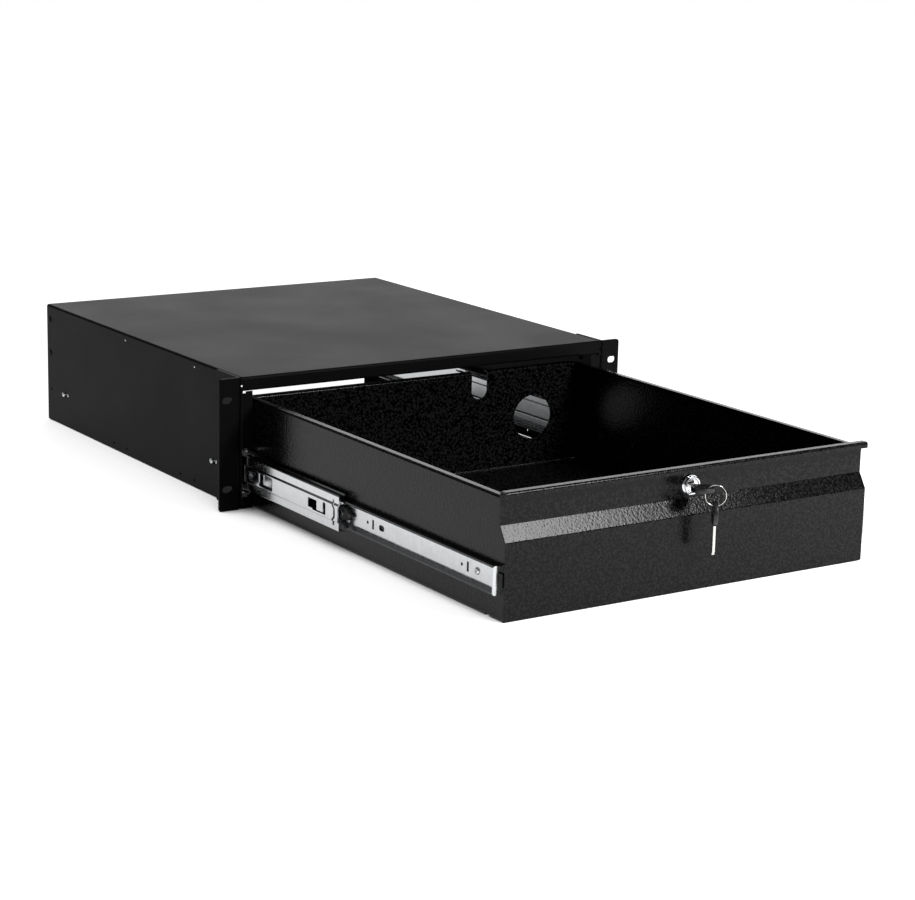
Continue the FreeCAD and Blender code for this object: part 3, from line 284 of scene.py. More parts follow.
def zinc_plate(name, tint):
    """Cold-rolled steel, bright zinc plated: nearly a mirror along the strip, with faint drawing lines
    that run with it and a soft clouding in the plating."""
    material = new_material(name)
    tree = material.node_tree
    place = node(tree, "ShaderNodeTexCoord").outputs["Object"]
    drawn = node(tree, "ShaderNodeMapping", {"Vector": place, "Scale": (1.0, 0.03, 1.0)})
    lines = node(
        tree,
        "ShaderNodeTexNoise",
        {"Vector": drawn.outputs["Vector"], "Scale": per_metre(0.6 * MM), "Detail": 3.0},
    )
    clouds = node(tree, "ShaderNodeTexNoise", {"Vector": place, "Scale": per_metre(5 * MM), "Detail": 6.0})
    dull = node(
        tree,
        "ShaderNodeMapRange",
        {
            "Value": clouds.outputs["Fac"],
            "From Min": 0.3,
            "From Max": 0.7,
            "To Min": 0.12,
            "To Max": 0.22,
        },
    )
    bump = node(
        tree, "ShaderNodeBump", {"Height": lines.outputs["Fac"], "Distance": 0.006 * MM, "Strength": 1.0}
    )
    tone = node(
        tree,
        "ShaderNodeMapRange",
        {"Value": clouds.outputs["Fac"], "From Min": 0.3, "From Max": 0.7, "To Min": 0.88, "To Max": 1.0},
    )
    plate = node(
        tree, "ShaderNodeVectorMath", {0: tint[:3], "Scale": tone.outputs["Result"]}, operation="SCALE"
    )
    metal = node(
        tree,
        "ShaderNodeBsdfPrincipled",
        {
            "Base Color": plate.outputs["Vector"],
            "Metallic": 1.0,
            "Roughness": dull.outputs["Result"],
            "Normal": bump.outputs["Normal"],
        },
    )
    node(tree, "ShaderNodeOutputMaterial", {"Surface": metal.outputs["BSDF"]})
    return material


def polished_metal(name, tint, roughness, haze):
    """Plated and polished metal: a clear mirror with fine handling scratches that haze it in patches."""
    material = new_material(name)
    tree = material.node_tree
    place = node(tree, "ShaderNodeTexCoord").outputs["Object"]
    scuffs = node(tree, "ShaderNodeTexNoise", {"Vector": place, "Scale": per_metre(1.6 * MM), "Detail": 6.0})
    dull = node(
        tree,
        "ShaderNodeMapRange",
        {
            "Value": scuffs.outputs["Fac"],
            "From Min": 0.35,
            "From Max": 0.75,
            "To Min": roughness,
            "To Max": roughness + haze,
        },
    )
    metal = node(
        tree,
        "ShaderNodeBsdfPrincipled",
        {"Base Color": tint, "Metallic": 1.0, "Roughness": dull.outputs["Result"]},
    )
    node(tree, "ShaderNodeOutputMaterial", {"Surface": metal.outputs["BSDF"]})
    return material


def moulded(name, tint, roughness, grain, relief):
    """Moulded plastic or rubber, with the fine spark-eroded grain of its mould."""
    material = new_material(name)
    tree = material.node_tree
    place = node(tree, "ShaderNodeTexCoord").outputs["Object"]
    grit = node(tree, "ShaderNodeTexNoise", {"Vector": place, "Scale": per_metre(grain), "Detail": 3.0})
    bump = node(tree, "ShaderNodeBump", {"Height": grit.outputs["Fac"], "Distance": relief, "Strength": 1.0})
    dull = node(
        tree,
        "ShaderNodeMapRange",
        {"Value": grit.outputs["Fac"], "To Min": roughness - 0.08, "To Max": roughness + 0.08},
    )
    skin = node(
        tree,
        "ShaderNodeBsdfPrincipled",
        {
            "Base Color": tint,
            "Roughness": dull.outputs["Result"],
            "IOR": 1.49,
            "Normal": bump.outputs["Normal"],
        },
    )
    node(tree, "ShaderNodeOutputMaterial", {"Surface": skin.outputs["BSDF"]})
    return material


# ------------------------------------------------------------------ mesh helpers


def crease_group(angle):
    """A modifier group that drops stored normals and shades smooth up to an angle."""
    name = f"Shade below {angle} degrees"
    if name in bpy.data.node_groups:
        return bpy.data.node_groups[name]
    tree = bpy.data.node_groups.new(name, "GeometryNodeTree")
    tree.interface.new_socket("Geometry", in_out="INPUT", socket_type="NodeSocketGeometry")
    tree.interface.new_socket("Geometry", in_out="OUTPUT", socket_type="NodeSocketGeometry")
    start = node(tree, "NodeGroupInput")
    edge = node(tree, "GeometryNodeInputMeshEdgeAngle")
    sharp = node(
        tree,
        "FunctionNodeCompare",
        {"A": edge.outputs["Unsigned Angle"], "B": math.radians(angle)},
        operation="GREATER_THAN",
    )
    plain = node(
        tree,
        "GeometryNodeSetMeshNormal",
        {"Mesh": start.outputs["Geometry"], "Remove Custom": True, "Edge Sharpness": sharp.outputs["Result"]},
        mode="SHARPNESS",
    )
    node(tree, "NodeGroupOutput", {"Geometry": plain.outputs["Mesh"]})
    return tree


def break_edges(item, width):
    """Weld a CAD node's triangles, merge the flat ones, round its sheared edges and keep flats flat."""
    weld = item.modifiers.new("Weld", "WELD")
    weld.merge_threshold = 0.002 * MM
    flat = item.modifiers.new("Merge flats", "DECIMATE")
    flat.decimate_type = "DISSOLVE"
    flat.angle_limit = math.radians(SAME_PLANE_DEGREES)
    edge = item.modifiers.new("Broken edge", "BEVEL")
    edge.width = width
    edge.segments = 2
    edge.limit_method = "ANGLE"
    edge.angle_limit = math.radians(SHEARED_EDGE_DEGREES)
    edge.use_clamp_overlap = True
    crease = item.modifiers.new("Shading", "NODES")
    crease.node_group = crease_group(CAD_SMOOTH_DEGREES)
    weigh = item.modifiers.new("Flats stay flat", "WEIGHTED_NORMAL")
    weigh.mode = "FACE_AREA"
    weigh.weight = 100
    weigh.keep_sharp = True


def dress(name, material, width=0.0):
    """Give a CAD node its material and, if asked, softened edges."""
    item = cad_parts[name]
    for place in item.material_slots:
        place.material = material
    if width:
        break_edges(item, width)


def finish_piece(name, mesh, material, body, replaced=()):
    """Turn a bmesh into a named piece with one material, riding on a CAD body."""
    bmesh.ops.remove_doubles(mesh, verts=mesh.verts, dist=SAME_POINT)
    bmesh.ops.recalc_face_normals(mesh, faces=mesh.faces)
    data = bpy.data.meshes.new(name)
    mesh.to_mesh(data)
    mesh.free()
    data.materials.append(material)
    for face in data.polygons:
        face.use_smooth = True
    data.set_sharp_from_angle(angle=math.radians(MESH_SMOOTH_DEGREES))
    piece = bpy.data.objects.new(name, data)
    bpy.context.scene.collection.objects.link(piece)
    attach(piece, body)
    if replaced:
        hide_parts(*replaced)


def revolved(profile, steps=48):
    """Spin a chain of (radius, height) points once round Z."""
    mesh = bmesh.new()
    points = [mesh.verts.new((radius, 0, height)) for radius, height in profile]
    chain = [mesh.edges.new(pair) for pair in zip(points, points[1:])]
    bmesh.ops.spin(
        mesh, geom=points + chain, cent=(0, 0, 0), axis=(0, 0, 1), angle=math.tau, steps=steps, use_merge=True
    )
    bmesh.ops.remove_doubles(mesh, verts=mesh.verts, dist=SAME_POINT)
    bmesh.ops.recalc_face_normals(mesh, faces=mesh.faces)
    return mesh


def joined(into, *others):
    """Copy other bmeshes into one, and free them."""
    for other in others:
        carrier = bpy.data.meshes.new("carrier")
        other.to_mesh(carrier)
        other.free()
        into.from_mesh(carrier)
        bpy.data.meshes.remove(carrier)
    return into


def carved(mesh, *tools):
    """Cut closed bmeshes out of another, one after the other."""
    block = bpy.data.objects.new("block", bpy.data.meshes.new("block"))
    mesh.to_mesh(block.data)
    mesh.free()
    bpy.context.scene.collection.objects.link(block)
    cutters = []
    for tool in tools:
        cutter = bpy.data.objects.new("cutter", bpy.data.meshes.new("cutter"))
        bmesh.ops.recalc_face_normals(tool, faces=tool.faces)
        tool.to_mesh(cutter.data)
        tool.free()
        bpy.context.scene.collection.objects.link(cutter)
        cut = block.modifiers.new("Cut", "BOOLEAN")
        cut.operation = "DIFFERENCE"
        cut.solver = "EXACT"
        cut.object = cutter
        cutters.append(cutter)
    seen = block.evaluated_get(bpy.context.evaluated_depsgraph_get())
    result = bmesh.new()
    result.from_mesh(seen.to_mesh())
    seen.to_mesh_clear()
    for spare in (block, *cutters):
        data = spare.data
        bpy.data.objects.remove(spare)
        bpy.data.meshes.remove(data)
    return result


def bar(half_x, half_y, half_z, middle=(0, 0, 0)):
    """A block with flat sides, given by its half sizes."""
    mesh = bmesh.new()
    bmesh.ops.create_cube(mesh, size=2)
    bmesh.ops.scale(mesh, verts=mesh.verts, vec=(half_x, half_y, half_z))
    bmesh.ops.translate(mesh, verts=mesh.verts, vec=middle)
    return mesh


def pin(radius, half_length, steps=32):
    """A round cutter along Z."""
    mesh = bmesh.new()
    bmesh.ops.create_cone(
        mesh, cap_ends=True, segments=steps, radius1=radius, radius2=radius, depth=2 * half_length
    )
    return mesh


def placed(mesh, matrix):
    """Move a bmesh by a matrix and give it back."""
    bmesh.ops.transform(mesh, matrix=matrix, verts=mesh.verts)
    return mesh


def cross_screw(radius, rise, shank, grip, reach, width):
    """A pan-head screw with a cross recess: the head rises along Z from height 0, the shank goes down."""
    head = revolved(
        (
            (0, rise),
            (0.5 * radius, 0.97 * rise),
            (0.78 * radius, 0.82 * rise),
            (0.95 * radius, 0.5 * rise),
            (radius, 0.12 * rise),
            (radius, 0),
            (shank, 0),
            (shank, -grip),
            (0, -grip),
        )
    )
    arms = []
    for half_x, half_y in ((reach, width), (width, reach)):
        arm = bar(half_x, half_y, 0.75 * rise, (0, 0, rise))
        low = [vert for vert in arm.verts if vert.co.z < rise]
        bmesh.ops.scale(arm, verts=low, vec=(0.6, 0.6, 1))
        arms.append(arm)
    return carved(head, *arms)


def four_screws(name, material, grip, body):
    """Stand four cross-recess screws in for a node's screws: on each side of the object, one at each end
    of the node's box. Screws between the two ends get none."""
    low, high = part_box(name)
    span = high - low
    along = 1 if span.y > span.z else 2
    radius = min(span.y, span.z) / 2
    rise = 0.55 * radius
    screws = bmesh.new()
    for side in (-1, 1):
        for end in (0, 1):
            middle = (low + high) / 2
            middle.x = high.x - rise if side > 0 else low.x + rise
            middle[along] = high[along] - radius if end else low[along] + radius
            screw = cross_screw(
                radius, rise, shank=0.6 * radius, grip=grip, reach=0.55 * radius, width=0.13 * radius
            )
            turn = Matrix.Rotation(side * math.pi / 2, 4, "Y") @ Matrix.Rotation(0.5 + end + side, 4, "Z")
            joined(screws, placed(screw, Matrix.Translation(middle) @ turn))
    finish_piece(f"{name}_recessed", screws, material, body, (name,))


# ------------------------------------------------------------------ stage

CAMERA_PLACE = Vector((-1303.6, -2018.1, 539.3)) * MM
CAMERA_YAW = 33.59
CAMERA_PITCH = 13.315
CAMERA_ROLL = 1.381
CAMERA_LENS = 94.36
SKY_STRENGTH = 0.14
PAPER_LIFT = 0.875


def camera_matrix():
    """The camera's place and turn, from its yaw, pitch and roll in degrees."""
    yaw, pitch, roll = (math.radians(a) for a in (CAMERA_YAW, CAMERA_PITCH, CAMERA_ROLL))
    turn = (
        Matrix.Rotation(-yaw, 4, "Z")
        @ Matrix.Rotation(math.pi / 2 - pitch, 4, "X")
        @ Matrix.Rotation(roll, 4, "Z")
    )
    return Matrix.Translation(CAMERA_PLACE) @ turn


def softbox(name, place, target, size, power):
    """A flat rectangular lamp at a place in metres, aimed at a target."""
    light = bpy.data.lights.new(name, "AREA")
    light.shape = "RECTANGLE"
    light.size, light.size_y = size
    light.energy = power
    lamp = bpy.data.objects.new(name, light)
    lamp.location = place
    lamp.rotation_euler = (Vector(target) - Vector(place)).to_track_quat("-Z", "Y").to_euler()
    lamp.visible_camera = False
    bpy.context.scene.collection.objects.link(lamp)


def studio_paper(tint):
    """Matt seamless paper. Seen directly, in a reflection or through glass it is lifted to white, except
    where the object closes it in, so that the shade under and inside the object stays."""
    material = new_material("Seamless studio paper")
    tree = material.node_tree
    open_sky = node(tree, "ShaderNodeAmbientOcclusion", {"Distance": 200 * MM}, samples=8)
    clear = node(
        tree,
        "ShaderNodeMapRange",
        {"Value": open_sky.outputs["AO"], "From Min": 0.2, "From Max": 0.6},
        interpolation_type="SMOOTHSTEP",
    )
    path = node(tree, "ShaderNodeLightPath")
    first = node(
        tree,
        "ShaderNodeMath",
        {0: path.outputs["Is Camera Ray"], 1: path.outputs["Is Glossy Ray"]},
        operation="MAXIMUM",
    )
    seen = node(
        tree,
        "ShaderNodeMath",
        {0: first.outputs["Value"], 1: path.outputs["Is Transmission Ray"]},
        operation="MAXIMUM",
    )
    lifted = node(
        tree, "ShaderNodeMath", {0: seen.outputs["Value"], 1: clear.outputs["Result"]}, operation="MULTIPLY"
    )
    paper = node(tree, "ShaderNodeBsdfDiffuse", {"Color": tint})
    lift = node(tree, "ShaderNodeEmission", {"Color": (1, 1, 1, 1), "Strength": PAPER_LIFT})
    dark = node(tree, "ShaderNodeEmission", {"Color": (0, 0, 0, 1), "Strength": 0.0})
    chosen = node(
        tree,
        "ShaderNodeMixShader",
        {0: lifted.outputs["Value"], 1: dark.outputs["Emission"], 2: lift.outputs["Emission"]},
    )
    both = node(tree, "ShaderNodeAddShader", {0: paper.outputs["BSDF"], 1: chosen.outputs["Shader"]})
    node(tree, "ShaderNodeOutputMaterial", {"Surface": both.outputs["Shader"]})
    return material


class DRAWER_OT_stage(bpy.types.Operator):
    """Add the pale floor, the camera and the soft studio light"""

    bl_idname = "rack_drawer.stage"
    bl_label = "Studio"

    def execute(self, context):
        scene = context.scene
        scene.view_settings.view_transform = "Standard"
        lens = bpy.data.cameras.new("Camera")
        lens.lens = CAMERA_LENS
        lens.clip_end = 100
        camera = bpy.data.objects.new("Camera", lens)
        scene.collection.objects.link(camera)
        camera.matrix_world = camera_matrix()
        scene.camera = camera

        sky = bpy.data.worlds.new("Studio")
        sky.use_nodes = True
        tree = sky.node_tree
        tree.nodes.clear()
        dome = node(tree, "ShaderNodeBackground", {"Color": (1, 1, 1, 1), "Strength": SKY_STRENGTH})
        node(tree, "ShaderNodeOutputWorld", {"Surface": dome.outputs["Background"]})
        scene.world = sky

        sweep = bmesh.new()
        bmesh.ops.create_grid(sweep, x_segments=8, y_segments=8, size=30)
        bmesh.ops.translate(sweep, verts=sweep.verts, vec=(0, 0, CAD_BOX[0].z))
        data = bpy.data.meshes.new("floor")
        sweep.to_mesh(data)
        sweep.free()
        floor = bpy.data.objects.new("floor", data)
        scene.collection.objects.link(floor)
        data.materials.append(studio_paper(scene.drawer_colours.paper))

        softbox("Front softbox", (0.46, -1.22, 0.81), (-0.1, -0.3, 0), (0.43, 0.4), 17.0)
        softbox("Rear softbox", (1.5, 2.6, 0.9), (0.1, 0.2, 0), (2.6, 1.6), 18.0)
        softbox("Overhead softbox", (0.0, 0.1, 1.7), (0.0, 0.0, 0), (1.4, 1.4), 2.2)
        return {"FINISHED"}


# ------------------------------------------------------------------ sheet metal


def corner_welds():
    """Weld beads, ground flush, that close the header's ends against the side walls; each leaves the
    small relief hole of the fold open."""
    low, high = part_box("case_cover")
    half_width, half_depth = 1.3 * MM, 2.4 * MM
    inset, behind = 1.32 * MM, 2.6 * MM
    welds = bmesh.new()
    for side in (-1, 1):
        for foot, top in ((-16.2, -9.8), (-7.9, -0.9)):
            bead = bar(half_width, half_depth, (top - foot) / 2 * MM)
            bmesh.ops.bevel(
                bead,
                geom=bead.edges[:],
                offset=0.5 * MM,
                affect="EDGES",
                segments=2,
                profile=0.5,
                material=-1,
            )
            middle = (side * (high.x - inset), low.y + behind, high.z + (foot + top) / 2 * MM)
            bmesh.ops.translate(bead, verts=bead.verts, vec=middle)
            joined(welds, bead)
    return welds


def side_studs():
    """Bright dome studs along the top of each side wall."""
    low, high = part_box("case_cover")
    outline = ((0, 0.6), (0.7, 0.5), (1.15, 0.15), (1.2, -1))
    below_top = 6.9 * MM
    studs = bmesh.new()
    for side in (-1, 1):
        for back in (98, 257):
            dome = revolved([(radius * MM, height * MM) for radius, height in outline], 24)
            turn = Matrix.Rotation(side * math.pi / 2, 4, "Y")
            place = Matrix.Translation((side * high.x, low.y + back * MM, high.z - below_top))
            joined(studs, placed(dome, place @ turn))
    return studs


class DRAWER_OT_case(bpy.types.Operator):
    """Coat the case, its rear frame, ears, strike and rivets, and fit the ears' screws"""

    bl_idname = "rack_drawer.case"
    bl_label = "Case and ears"

    def execute(self, context):
        sizes, colours = context.scene.drawer_sizes, context.scene.drawer_colours
        coat = fine_coat("Fine-textured powder coating on case steel", colours.case_coat, sizes.peel_grain)
        for name in ("case_cover", "case_rear_panel", "ear_bracket_left", "ear_bracket_right", "lock_strike"):
            dress(name, coat, sizes.edge)
        dress("rear_rivets", coat)
        finish_piece("corner_welds", corner_welds(), coat, "case")
        four_screws("ear_screws", coat, 3.5 * MM, "case")
        return {"FINISHED"}


class DRAWER_OT_box(bpy.types.Operator):
    """Coat the drawer's tray, rear panel and front panel"""

    bl_idname = "rack_drawer.box"
    bl_label = "Drawer box"

    def execute(self, context):
        sizes, colours = context.scene.drawer_sizes, context.scene.drawer_colours
        coat = hammered_coat(
            "Hammer-finish powder coating on drawer steel", colours.drawer_coat, sizes.hammer_grain
        )
        for name in ("drawer_tray", "drawer_rear_panel", "drawer_front_panel"):
            dress(name, coat, sizes.edge)
        return {"FINISHED"}


# ------------------------------------------------------------------ slides


class DRAWER_OT_slides(bpy.types.Operator):
    """Plate the slides and cages, and fit balls, stops, levers and screws"""

    bl_idname = "rack_drawer.slides"
    bl_label = "Ball-bearing slides"

    def execute(self, context):
        sizes, colours = context.scene.drawer_sizes, context.scene.drawer_colours
        zinc = zinc_plate("Bright zinc plating on rolled steel", colours.zinc)
        balls = polished_metal("Polished bearing steel", colours.steel, roughness=0.06, haze=0.05)
        rubber = moulded(
            "Moulded nitrile rubber", colours.rubber, roughness=0.62, grain=0.4 * MM, relief=0.01 * MM
        )
        acetal = moulded("Moulded acetal", colours.plastic, roughness=0.4, grain=0.3 * MM, relief=0.008 * MM)
        for side in ("left", "right"):
            for name in ("cabinet_slide", "middle_slide", "drawer_slide", "outer_cage", "inner_cage"):
                dress(f"{name}_{side}", zinc, sizes.edge / 3)
            for name in ("outer_balls", "inner_balls"):
                dress(f"{name}_{side}", balls)
            for name in ("rear_bumper", "front_bumper"):
                dress(f"{name}_{side}", rubber, sizes.edge)
            dress(f"release_lever_{side}", acetal, sizes.edge)
        finish_piece("side_studs", side_studs(), zinc, "case")
        four_screws("cabinet_slide_screws", zinc, 2.9 * MM, "case")
        four_screws("drawer_slide_screws", zinc, 2.8 * MM, "drawer")
        dress("lever_pins", zinc)
        return {"FINISHED"}


# ------------------------------------------------------------------ lock and keys

RING_YAW = -33.6


def lock_frame():
    """Where the lock's axis meets the recessed face, its local Z pointing into the drawer."""
    low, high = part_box("lock_body")
    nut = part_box("lock_nut")[0]
    face = Vector(((low.x + high.x) / 2, nut.y - FRONT_SHEET, (low.z + high.z) / 2))
    return Matrix.Translation(face) @ Matrix.Rotation(-math.pi / 2, 4, "X")


def barrel_thread(pitch, turns, root, crest):
    """A helical ridge along Z, closed in section."""
    mesh = bmesh.new()
    steps = 32
    tooth = [mesh.verts.new(point) for point in ((root, 0, 0), (crest, 0, pitch / 2), (root, 0, pitch))]
    edges = [mesh.edges.new((tooth[i], tooth[i - 1])) for i in range(3)]
    bmesh.ops.spin(
        mesh,
        geom=tooth + edges,
        cent=(0, 0, 0),
        axis=(0, 0, 1),
        dvec=(0, 0, pitch / steps),
        angle=turns * math.tau,
        steps=turns * steps,
        use_merge=False,
    )
    bmesh.ops.remove_doubles(mesh, verts=mesh.verts, dist=SAME_POINT)
    ends = [edge for edge in mesh.edges if edge.is_boundary]
    bmesh.ops.holes_fill(mesh, edges=ends, sides=0)
    return mesh


def flattened(mesh, flat):
    """Plane two flats onto a barrel and close them."""
    for side in (-1, 1):
        geometry = mesh.verts[:] + mesh.edges[:] + mesh.faces[:]
        cut = bmesh.ops.bisect_plane(
            mesh, geom=geometry, plane_co=(side * flat, 0, 0), plane_no=(side, 0, 0), clear_outer=True
        )
        rim = [item for item in cut["geom_cut"] if isinstance(item, bmesh.types.BMEdge)]
        bmesh.ops.holes_fill(mesh, edges=rim, sides=0)
    return mesh


def lock_housing(pitch):
    """Stepped bezel and a threaded barrel with two flats, bored for the plug."""
    rise = 4.5
    bezel = revolved(
        [
            (radius * MM, height * MM)
            for radius, height in (
                (5.7, 0.0),
                (5.7, 1.0 - rise),
                (6.2, 0.3 - rise),
                (6.7, -rise),
                (7.7, -rise),
                (8.2, 0.3 - rise),
                (8.3, 1.0 - rise),
                (8.1, -2.4),
                (8.1, -1.6),
                (9.0, -1.5),
                (9.3, -1.2),
                (9.4, -0.8),
                (9.4, 0.0),
                (5.7, 0.0),
            )
        ],
        64,
    )
    long, root, crest, bore = 24.5 * MM, 7.45 * MM, 8.0 * MM, 5.7 * MM
    tube = revolved(((bore, 0), (root, 0), (root, long), (bore, long), (bore, 0)), 64)
    turns = int((long - 2 * MM) / pitch)
    thread = placed(
        barrel_thread(pitch, turns, root - 0.1 * MM, crest), Matrix.Translation((0, 0, 1.8 * MM))
    )
    return joined(bezel, flattened(tube, 7.2 * MM), flattened(thread, 7.2 * MM))


def hex_nut(across, thick, bore):
    """A chamfered hexagon nut along Z from height 0."""
    corner = across / 2 / math.cos(math.pi / 6)
    mesh = bmesh.new()
    bmesh.ops.create_cone(mesh, cap_ends=True, segments=6, radius1=corner, radius2=corner, depth=thick)
    bmesh.ops.bevel(
        mesh,
        geom=mesh.verts[:],
        offset=0.12 * across / 2,
        offset_type="OFFSET",
        affect="VERTICES",
        segments=2,
        profile=0.5,
        material=-1,
    )
    bmesh.ops.translate(mesh, verts=mesh.verts, vec=(0, 0, thick / 2))
    hole = pin(bore, thick)
    bmesh.ops.translate(hole, verts=hole.verts, vec=(0, 0, thick / 2))
    return carved(mesh, hole)


def key_blade_mesh(step):
    """A blade along local Z: tapered tip, a groove down each face and five cuts in one edge."""
    half, thick, long = 3.8 * MM, 1.05 * MM, 27 * MM
    blade = bar(half, thick, long / 2, (0, 0, long / 2))
    for side in (-1, 1):
        geometry = blade.verts[:] + blade.edges[:] + blade.faces[:]
        cut = bmesh.ops.bisect_plane(
            blade, geom=geometry, plane_co=(0, 0, long), plane_no=(side, 0, 1), clear_outer=True
        )
        rim = [item for item in cut["geom_cut"] if isinstance(item, bmesh.types.BMEdge)]
        bmesh.ops.holes_fill(blade, edges=rim, sides=0)
    tools = []
    for side in (-1, 1):
        tools.append(bar(0.55 * MM, 0.4 * MM, long, (0.8 * side * MM, side * thick, 2 * MM)))
    for number, deep in enumerate((0.9, 1.5, 0.7, 1.3, 1.0)):
        wedge = placed(bar(deep * MM, 2 * thick, deep * MM), Matrix.Rotation(math.pi / 4, 4, "Y"))
        bmesh.ops.translate(wedge, verts=wedge.verts, vec=(-half - 0.3 * MM, 0, 6 * MM + number * step))
        tools.append(wedge)
    return carved(blade, *tools)


def key_grip_mesh():
    """An oval moulded grip below height 0, with a sunk panel on each face and a hole for the ring."""
    half, long, thick, hole, inset = 10.7 * MM, 21 * MM, 4.4 * MM, 3.1 * MM, 5.2 * MM
    grip = bmesh.new()
    bmesh.ops.create_circle(grip, cap_ends=True, segments=72, radius=1)
    bmesh.ops.scale(grip, verts=grip.verts, vec=(half, long / 2, 1))
    plate = bmesh.ops.extrude_face_region(grip, geom=grip.faces[:])
    top = [item for item in plate["geom"] if isinstance(item, bmesh.types.BMVert)]
    bmesh.ops.translate(grip, verts=top, vec=(0, 0, thick))
    bmesh.ops.translate(grip, verts=grip.verts, vec=(0, 0, -thick / 2))
    bmesh.ops.recalc_face_normals(grip, faces=grip.faces)
    flats = [face for face in grip.faces if abs(face.normal.z) > 0.9]
    rims = list({edge for face in flats for edge in face.edges})
    bmesh.ops.bevel(
        grip, geom=rims, offset=1.1 * MM, affect="EDGES", segments=4, profile=0.5, material=-1
    )
    flats = [face for face in grip.faces if len(face.verts) > 20]
    bmesh.ops.inset_individual(grip, faces=flats, thickness=1.2 * MM, depth=0)
    bmesh.ops.inset_individual(grip, faces=flats, thickness=0.4 * MM, depth=-0.4 * MM)
    turn = Matrix.Translation((0, 0, -long / 2)) @ Matrix.Rotation(math.pi / 2, 4, "X")
    placed(grip, turn)
    eye = placed(pin(hole, thick), Matrix.Rotation(math.pi / 2, 4, "X"))
    bmesh.ops.translate(eye, verts=eye.verts, vec=(0, 0, inset - long))
    boss = revolved(
        (
            (hole, 0.5 * thick - 0.2 * MM),
            (hole + 0.2 * MM, 0.5 * thick),
            (hole + 0.9 * MM, 0.5 * thick),
            (hole + 1.1 * MM, 0.5 * thick - 0.2 * MM),
            (hole + 1.1 * MM, 0.2 * MM - 0.5 * thick),
            (hole + 0.9 * MM, -0.5 * thick),
            (hole + 0.2 * MM, -0.5 * thick),
            (hole, 0.2 * MM - 0.5 * thick),
            (hole, 0.5 * thick - 0.2 * MM),
        )
    )
    placed(boss, Matrix.Translation((0, 0, inset - long)) @ Matrix.Rotation(math.pi / 2, 4, "X"))
    return joined(carved(grip, eye), boss)


def split_ring(radius, wire):
    """Two turns of round wire, side by side, wound round Z."""
    mesh = bmesh.new()
    thin = 0.5 * wire
    bmesh.ops.create_circle(mesh, cap_ends=True, segments=12, radius=thin)
    placed(mesh, Matrix.Translation((radius, 0, -thin)) @ Matrix.Rotation(math.pi / 2, 4, "X"))
    steps = 64
    bmesh.ops.spin(
        mesh,
        geom=mesh.verts[:] + mesh.edges[:] + mesh.faces[:],
        cent=(0, 0, 0),
        axis=(0, 0, 1),
        dvec=(0, 0, 2 * thin / steps),
        angle=2 * math.tau * 0.985,
        steps=2 * steps,
        use_merge=False,
    )
    return mesh


class DRAWER_OT_lock(bpy.types.Operator):
    """Fit the cam lock, its nut and cam"""

    bl_idname = "rack_drawer.lock"
    bl_label = "Cam lock"

    def execute(self, context):
        sizes, colours = context.scene.drawer_sizes, context.scene.drawer_colours
        chrome = polished_metal("Polished chrome plating", colours.chrome, roughness=0.05, haze=0.06)
        zinc = bpy.data.materials["Bright zinc plating on rolled steel"]
        seat = lock_frame()
        housing = placed(lock_housing(sizes.thread_pitch), seat)
        finish_piece("lock_housing", housing, chrome, "drawer", ("lock_body",))
        nut = hex_nut(across=22 * MM, thick=3.2 * MM, bore=8.06 * MM)
        placed(nut, seat @ Matrix.Translation((0, 0, FRONT_SHEET)))
        finish_piece("lock_hex_nut", nut, zinc, "drawer", ("lock_nut",))
        dress("lock_plug", chrome, sizes.edge / 2)
        dress("lock_cam", zinc, sizes.edge)
        low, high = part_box("cam_screw")
        radius = (high.z - low.z) / 2
        rise = 2.6 * MM
        screw = cross_screw(
            radius, rise, shank=2 * MM, grip=6 * MM, reach=0.5 * radius, width=0.12 * radius
        )
        middle = (low + high) / 2
        middle.y = high.y - rise
        placed(screw, Matrix.Translation(middle) @ Matrix.Rotation(-math.pi / 2, 4, "X"))
        finish_piece("cam_screw_recessed", screw, zinc, "lock_core", ("cam_screw",))
        return {"FINISHED"}


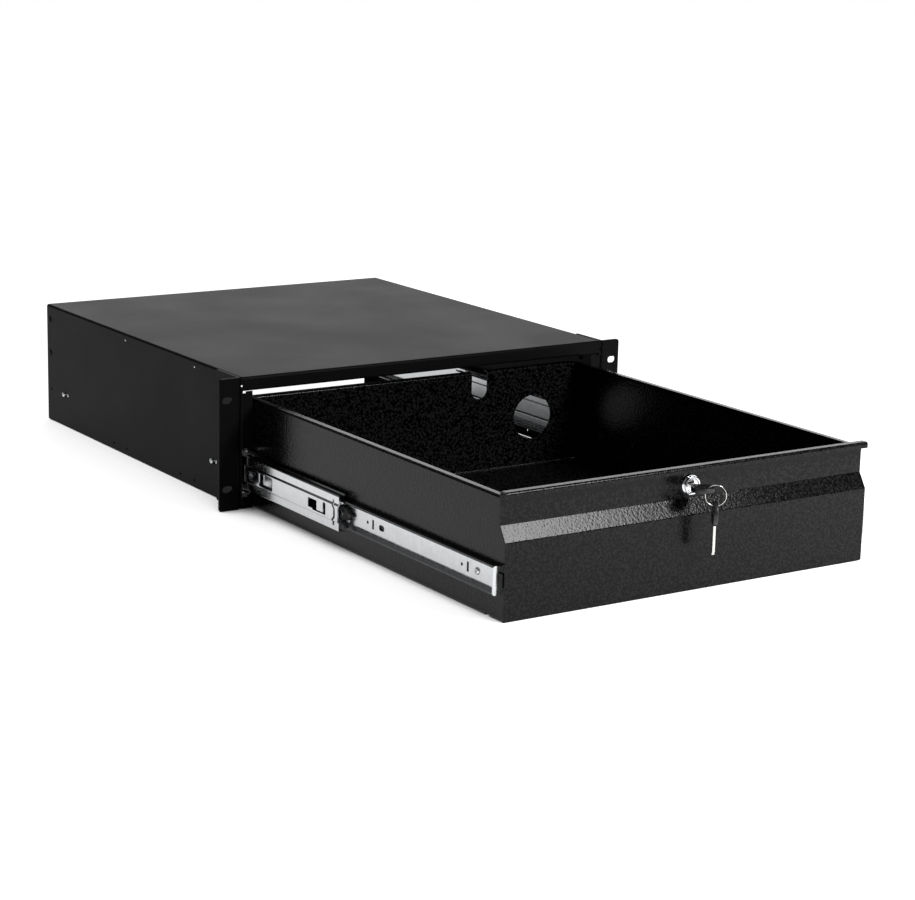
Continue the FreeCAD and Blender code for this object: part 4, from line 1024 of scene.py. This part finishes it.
class DRAWER_OT_keys(bpy.types.Operator):
    """Fit the two keys and the split ring"""

    bl_idname = "rack_drawer.keys"
    bl_label = "Keys and ring"

    def execute(self, context):
        sizes, colours = context.scene.drawer_sizes, context.scene.drawer_colours
        nickel = polished_metal("Nickel plating on brass keys", colours.nickel, roughness=0.16, haze=0.08)
        plastic = moulded(
            "Moulded ABS key grip", colours.plastic, roughness=0.42, grain=0.35 * MM, relief=0.01 * MM
        )
        seat = lock_frame()
        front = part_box("key_blade")[0].y
        first = seat.copy()
        first.translation.y = front
        low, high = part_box("key_ring")
        turn = math.radians(RING_YAW)
        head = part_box("spare_key_blade")[1].z
        centre = Vector(((low.x + high.x) / 2, (low.y + high.y) / 2, (low.z + high.z) / 2))
        spare = (
            Matrix.Translation((centre.x, centre.y, head))
            @ Matrix.Rotation(turn, 4, "Z")
            @ Matrix.Rotation(math.pi, 4, "X")
            @ Matrix.Rotation(math.pi / 2, 4, "Z")
        )
        for prefix, body, matrix in (("", "lock_core", first), ("spare_", "spare_key", spare)):
            blade = placed(key_blade_mesh(sizes.bitting_step), matrix)
            grip = placed(key_grip_mesh(), matrix)
            old_blade, old_grip = f"{prefix}key_blade", f"{prefix}key_grip"
            finish_piece(f"{prefix}key_bitted", blade, nickel, body, (old_blade,))
            finish_piece(f"{prefix}key_oval_grip", grip, plastic, body, (old_grip,))
        ring = split_ring(radius=9.3 * MM, wire=0.75 * MM)
        upright = Matrix.Rotation(turn, 4, "Z") @ Matrix.Rotation(math.pi / 2, 4, "X")
        placed(ring, Matrix.Translation(centre) @ upright)
        finish_piece("split_ring", ring, nickel, "ring", ("key_ring",))
        return {"FINISHED"}


# ------------------------------------------------------------------ panel, registration, main


OPERATORS = (
    DRAWER_OT_stage,
    DRAWER_OT_case,
    DRAWER_OT_box,
    DRAWER_OT_slides,
    DRAWER_OT_lock,
    DRAWER_OT_keys,
)


class DRAWER_PT_panel(bpy.types.Panel):
    """Lists the drawer's pieces, sizes and colours"""

    bl_label = "Rack Drawer"
    bl_idname = "DRAWER_PT_panel"
    bl_space_type = "VIEW_3D"
    bl_region_type = "UI"
    bl_category = "Rack Drawer"

    def draw(self, context):
        for operator in OPERATORS:
            self.layout.operator(operator.bl_idname)
        for settings in (context.scene.drawer_sizes, context.scene.drawer_colours):
            for name in settings.__annotations__:
                self.layout.prop(settings, name)


CLASSES = (DrawerSizes, DrawerColours, *OPERATORS, DRAWER_PT_panel)


def register():
    for cls in CLASSES:
        bpy.utils.register_class(cls)
    bpy.types.Scene.drawer_sizes = bpy.props.PointerProperty(type=DrawerSizes)
    bpy.types.Scene.drawer_colours = bpy.props.PointerProperty(type=DrawerColours)


def unregister():
    del bpy.types.Scene.drawer_colours
    del bpy.types.Scene.drawer_sizes
    for cls in reversed(CLASSES):
        bpy.utils.unregister_class(cls)


def main():
    register()
    bpy.ops.rack_drawer.stage()
    bpy.ops.rack_drawer.case()
    bpy.ops.rack_drawer.box()
    bpy.ops.rack_drawer.slides()
    bpy.ops.rack_drawer.lock()
    bpy.ops.rack_drawer.keys()


if __name__ == "__main__":
    main()
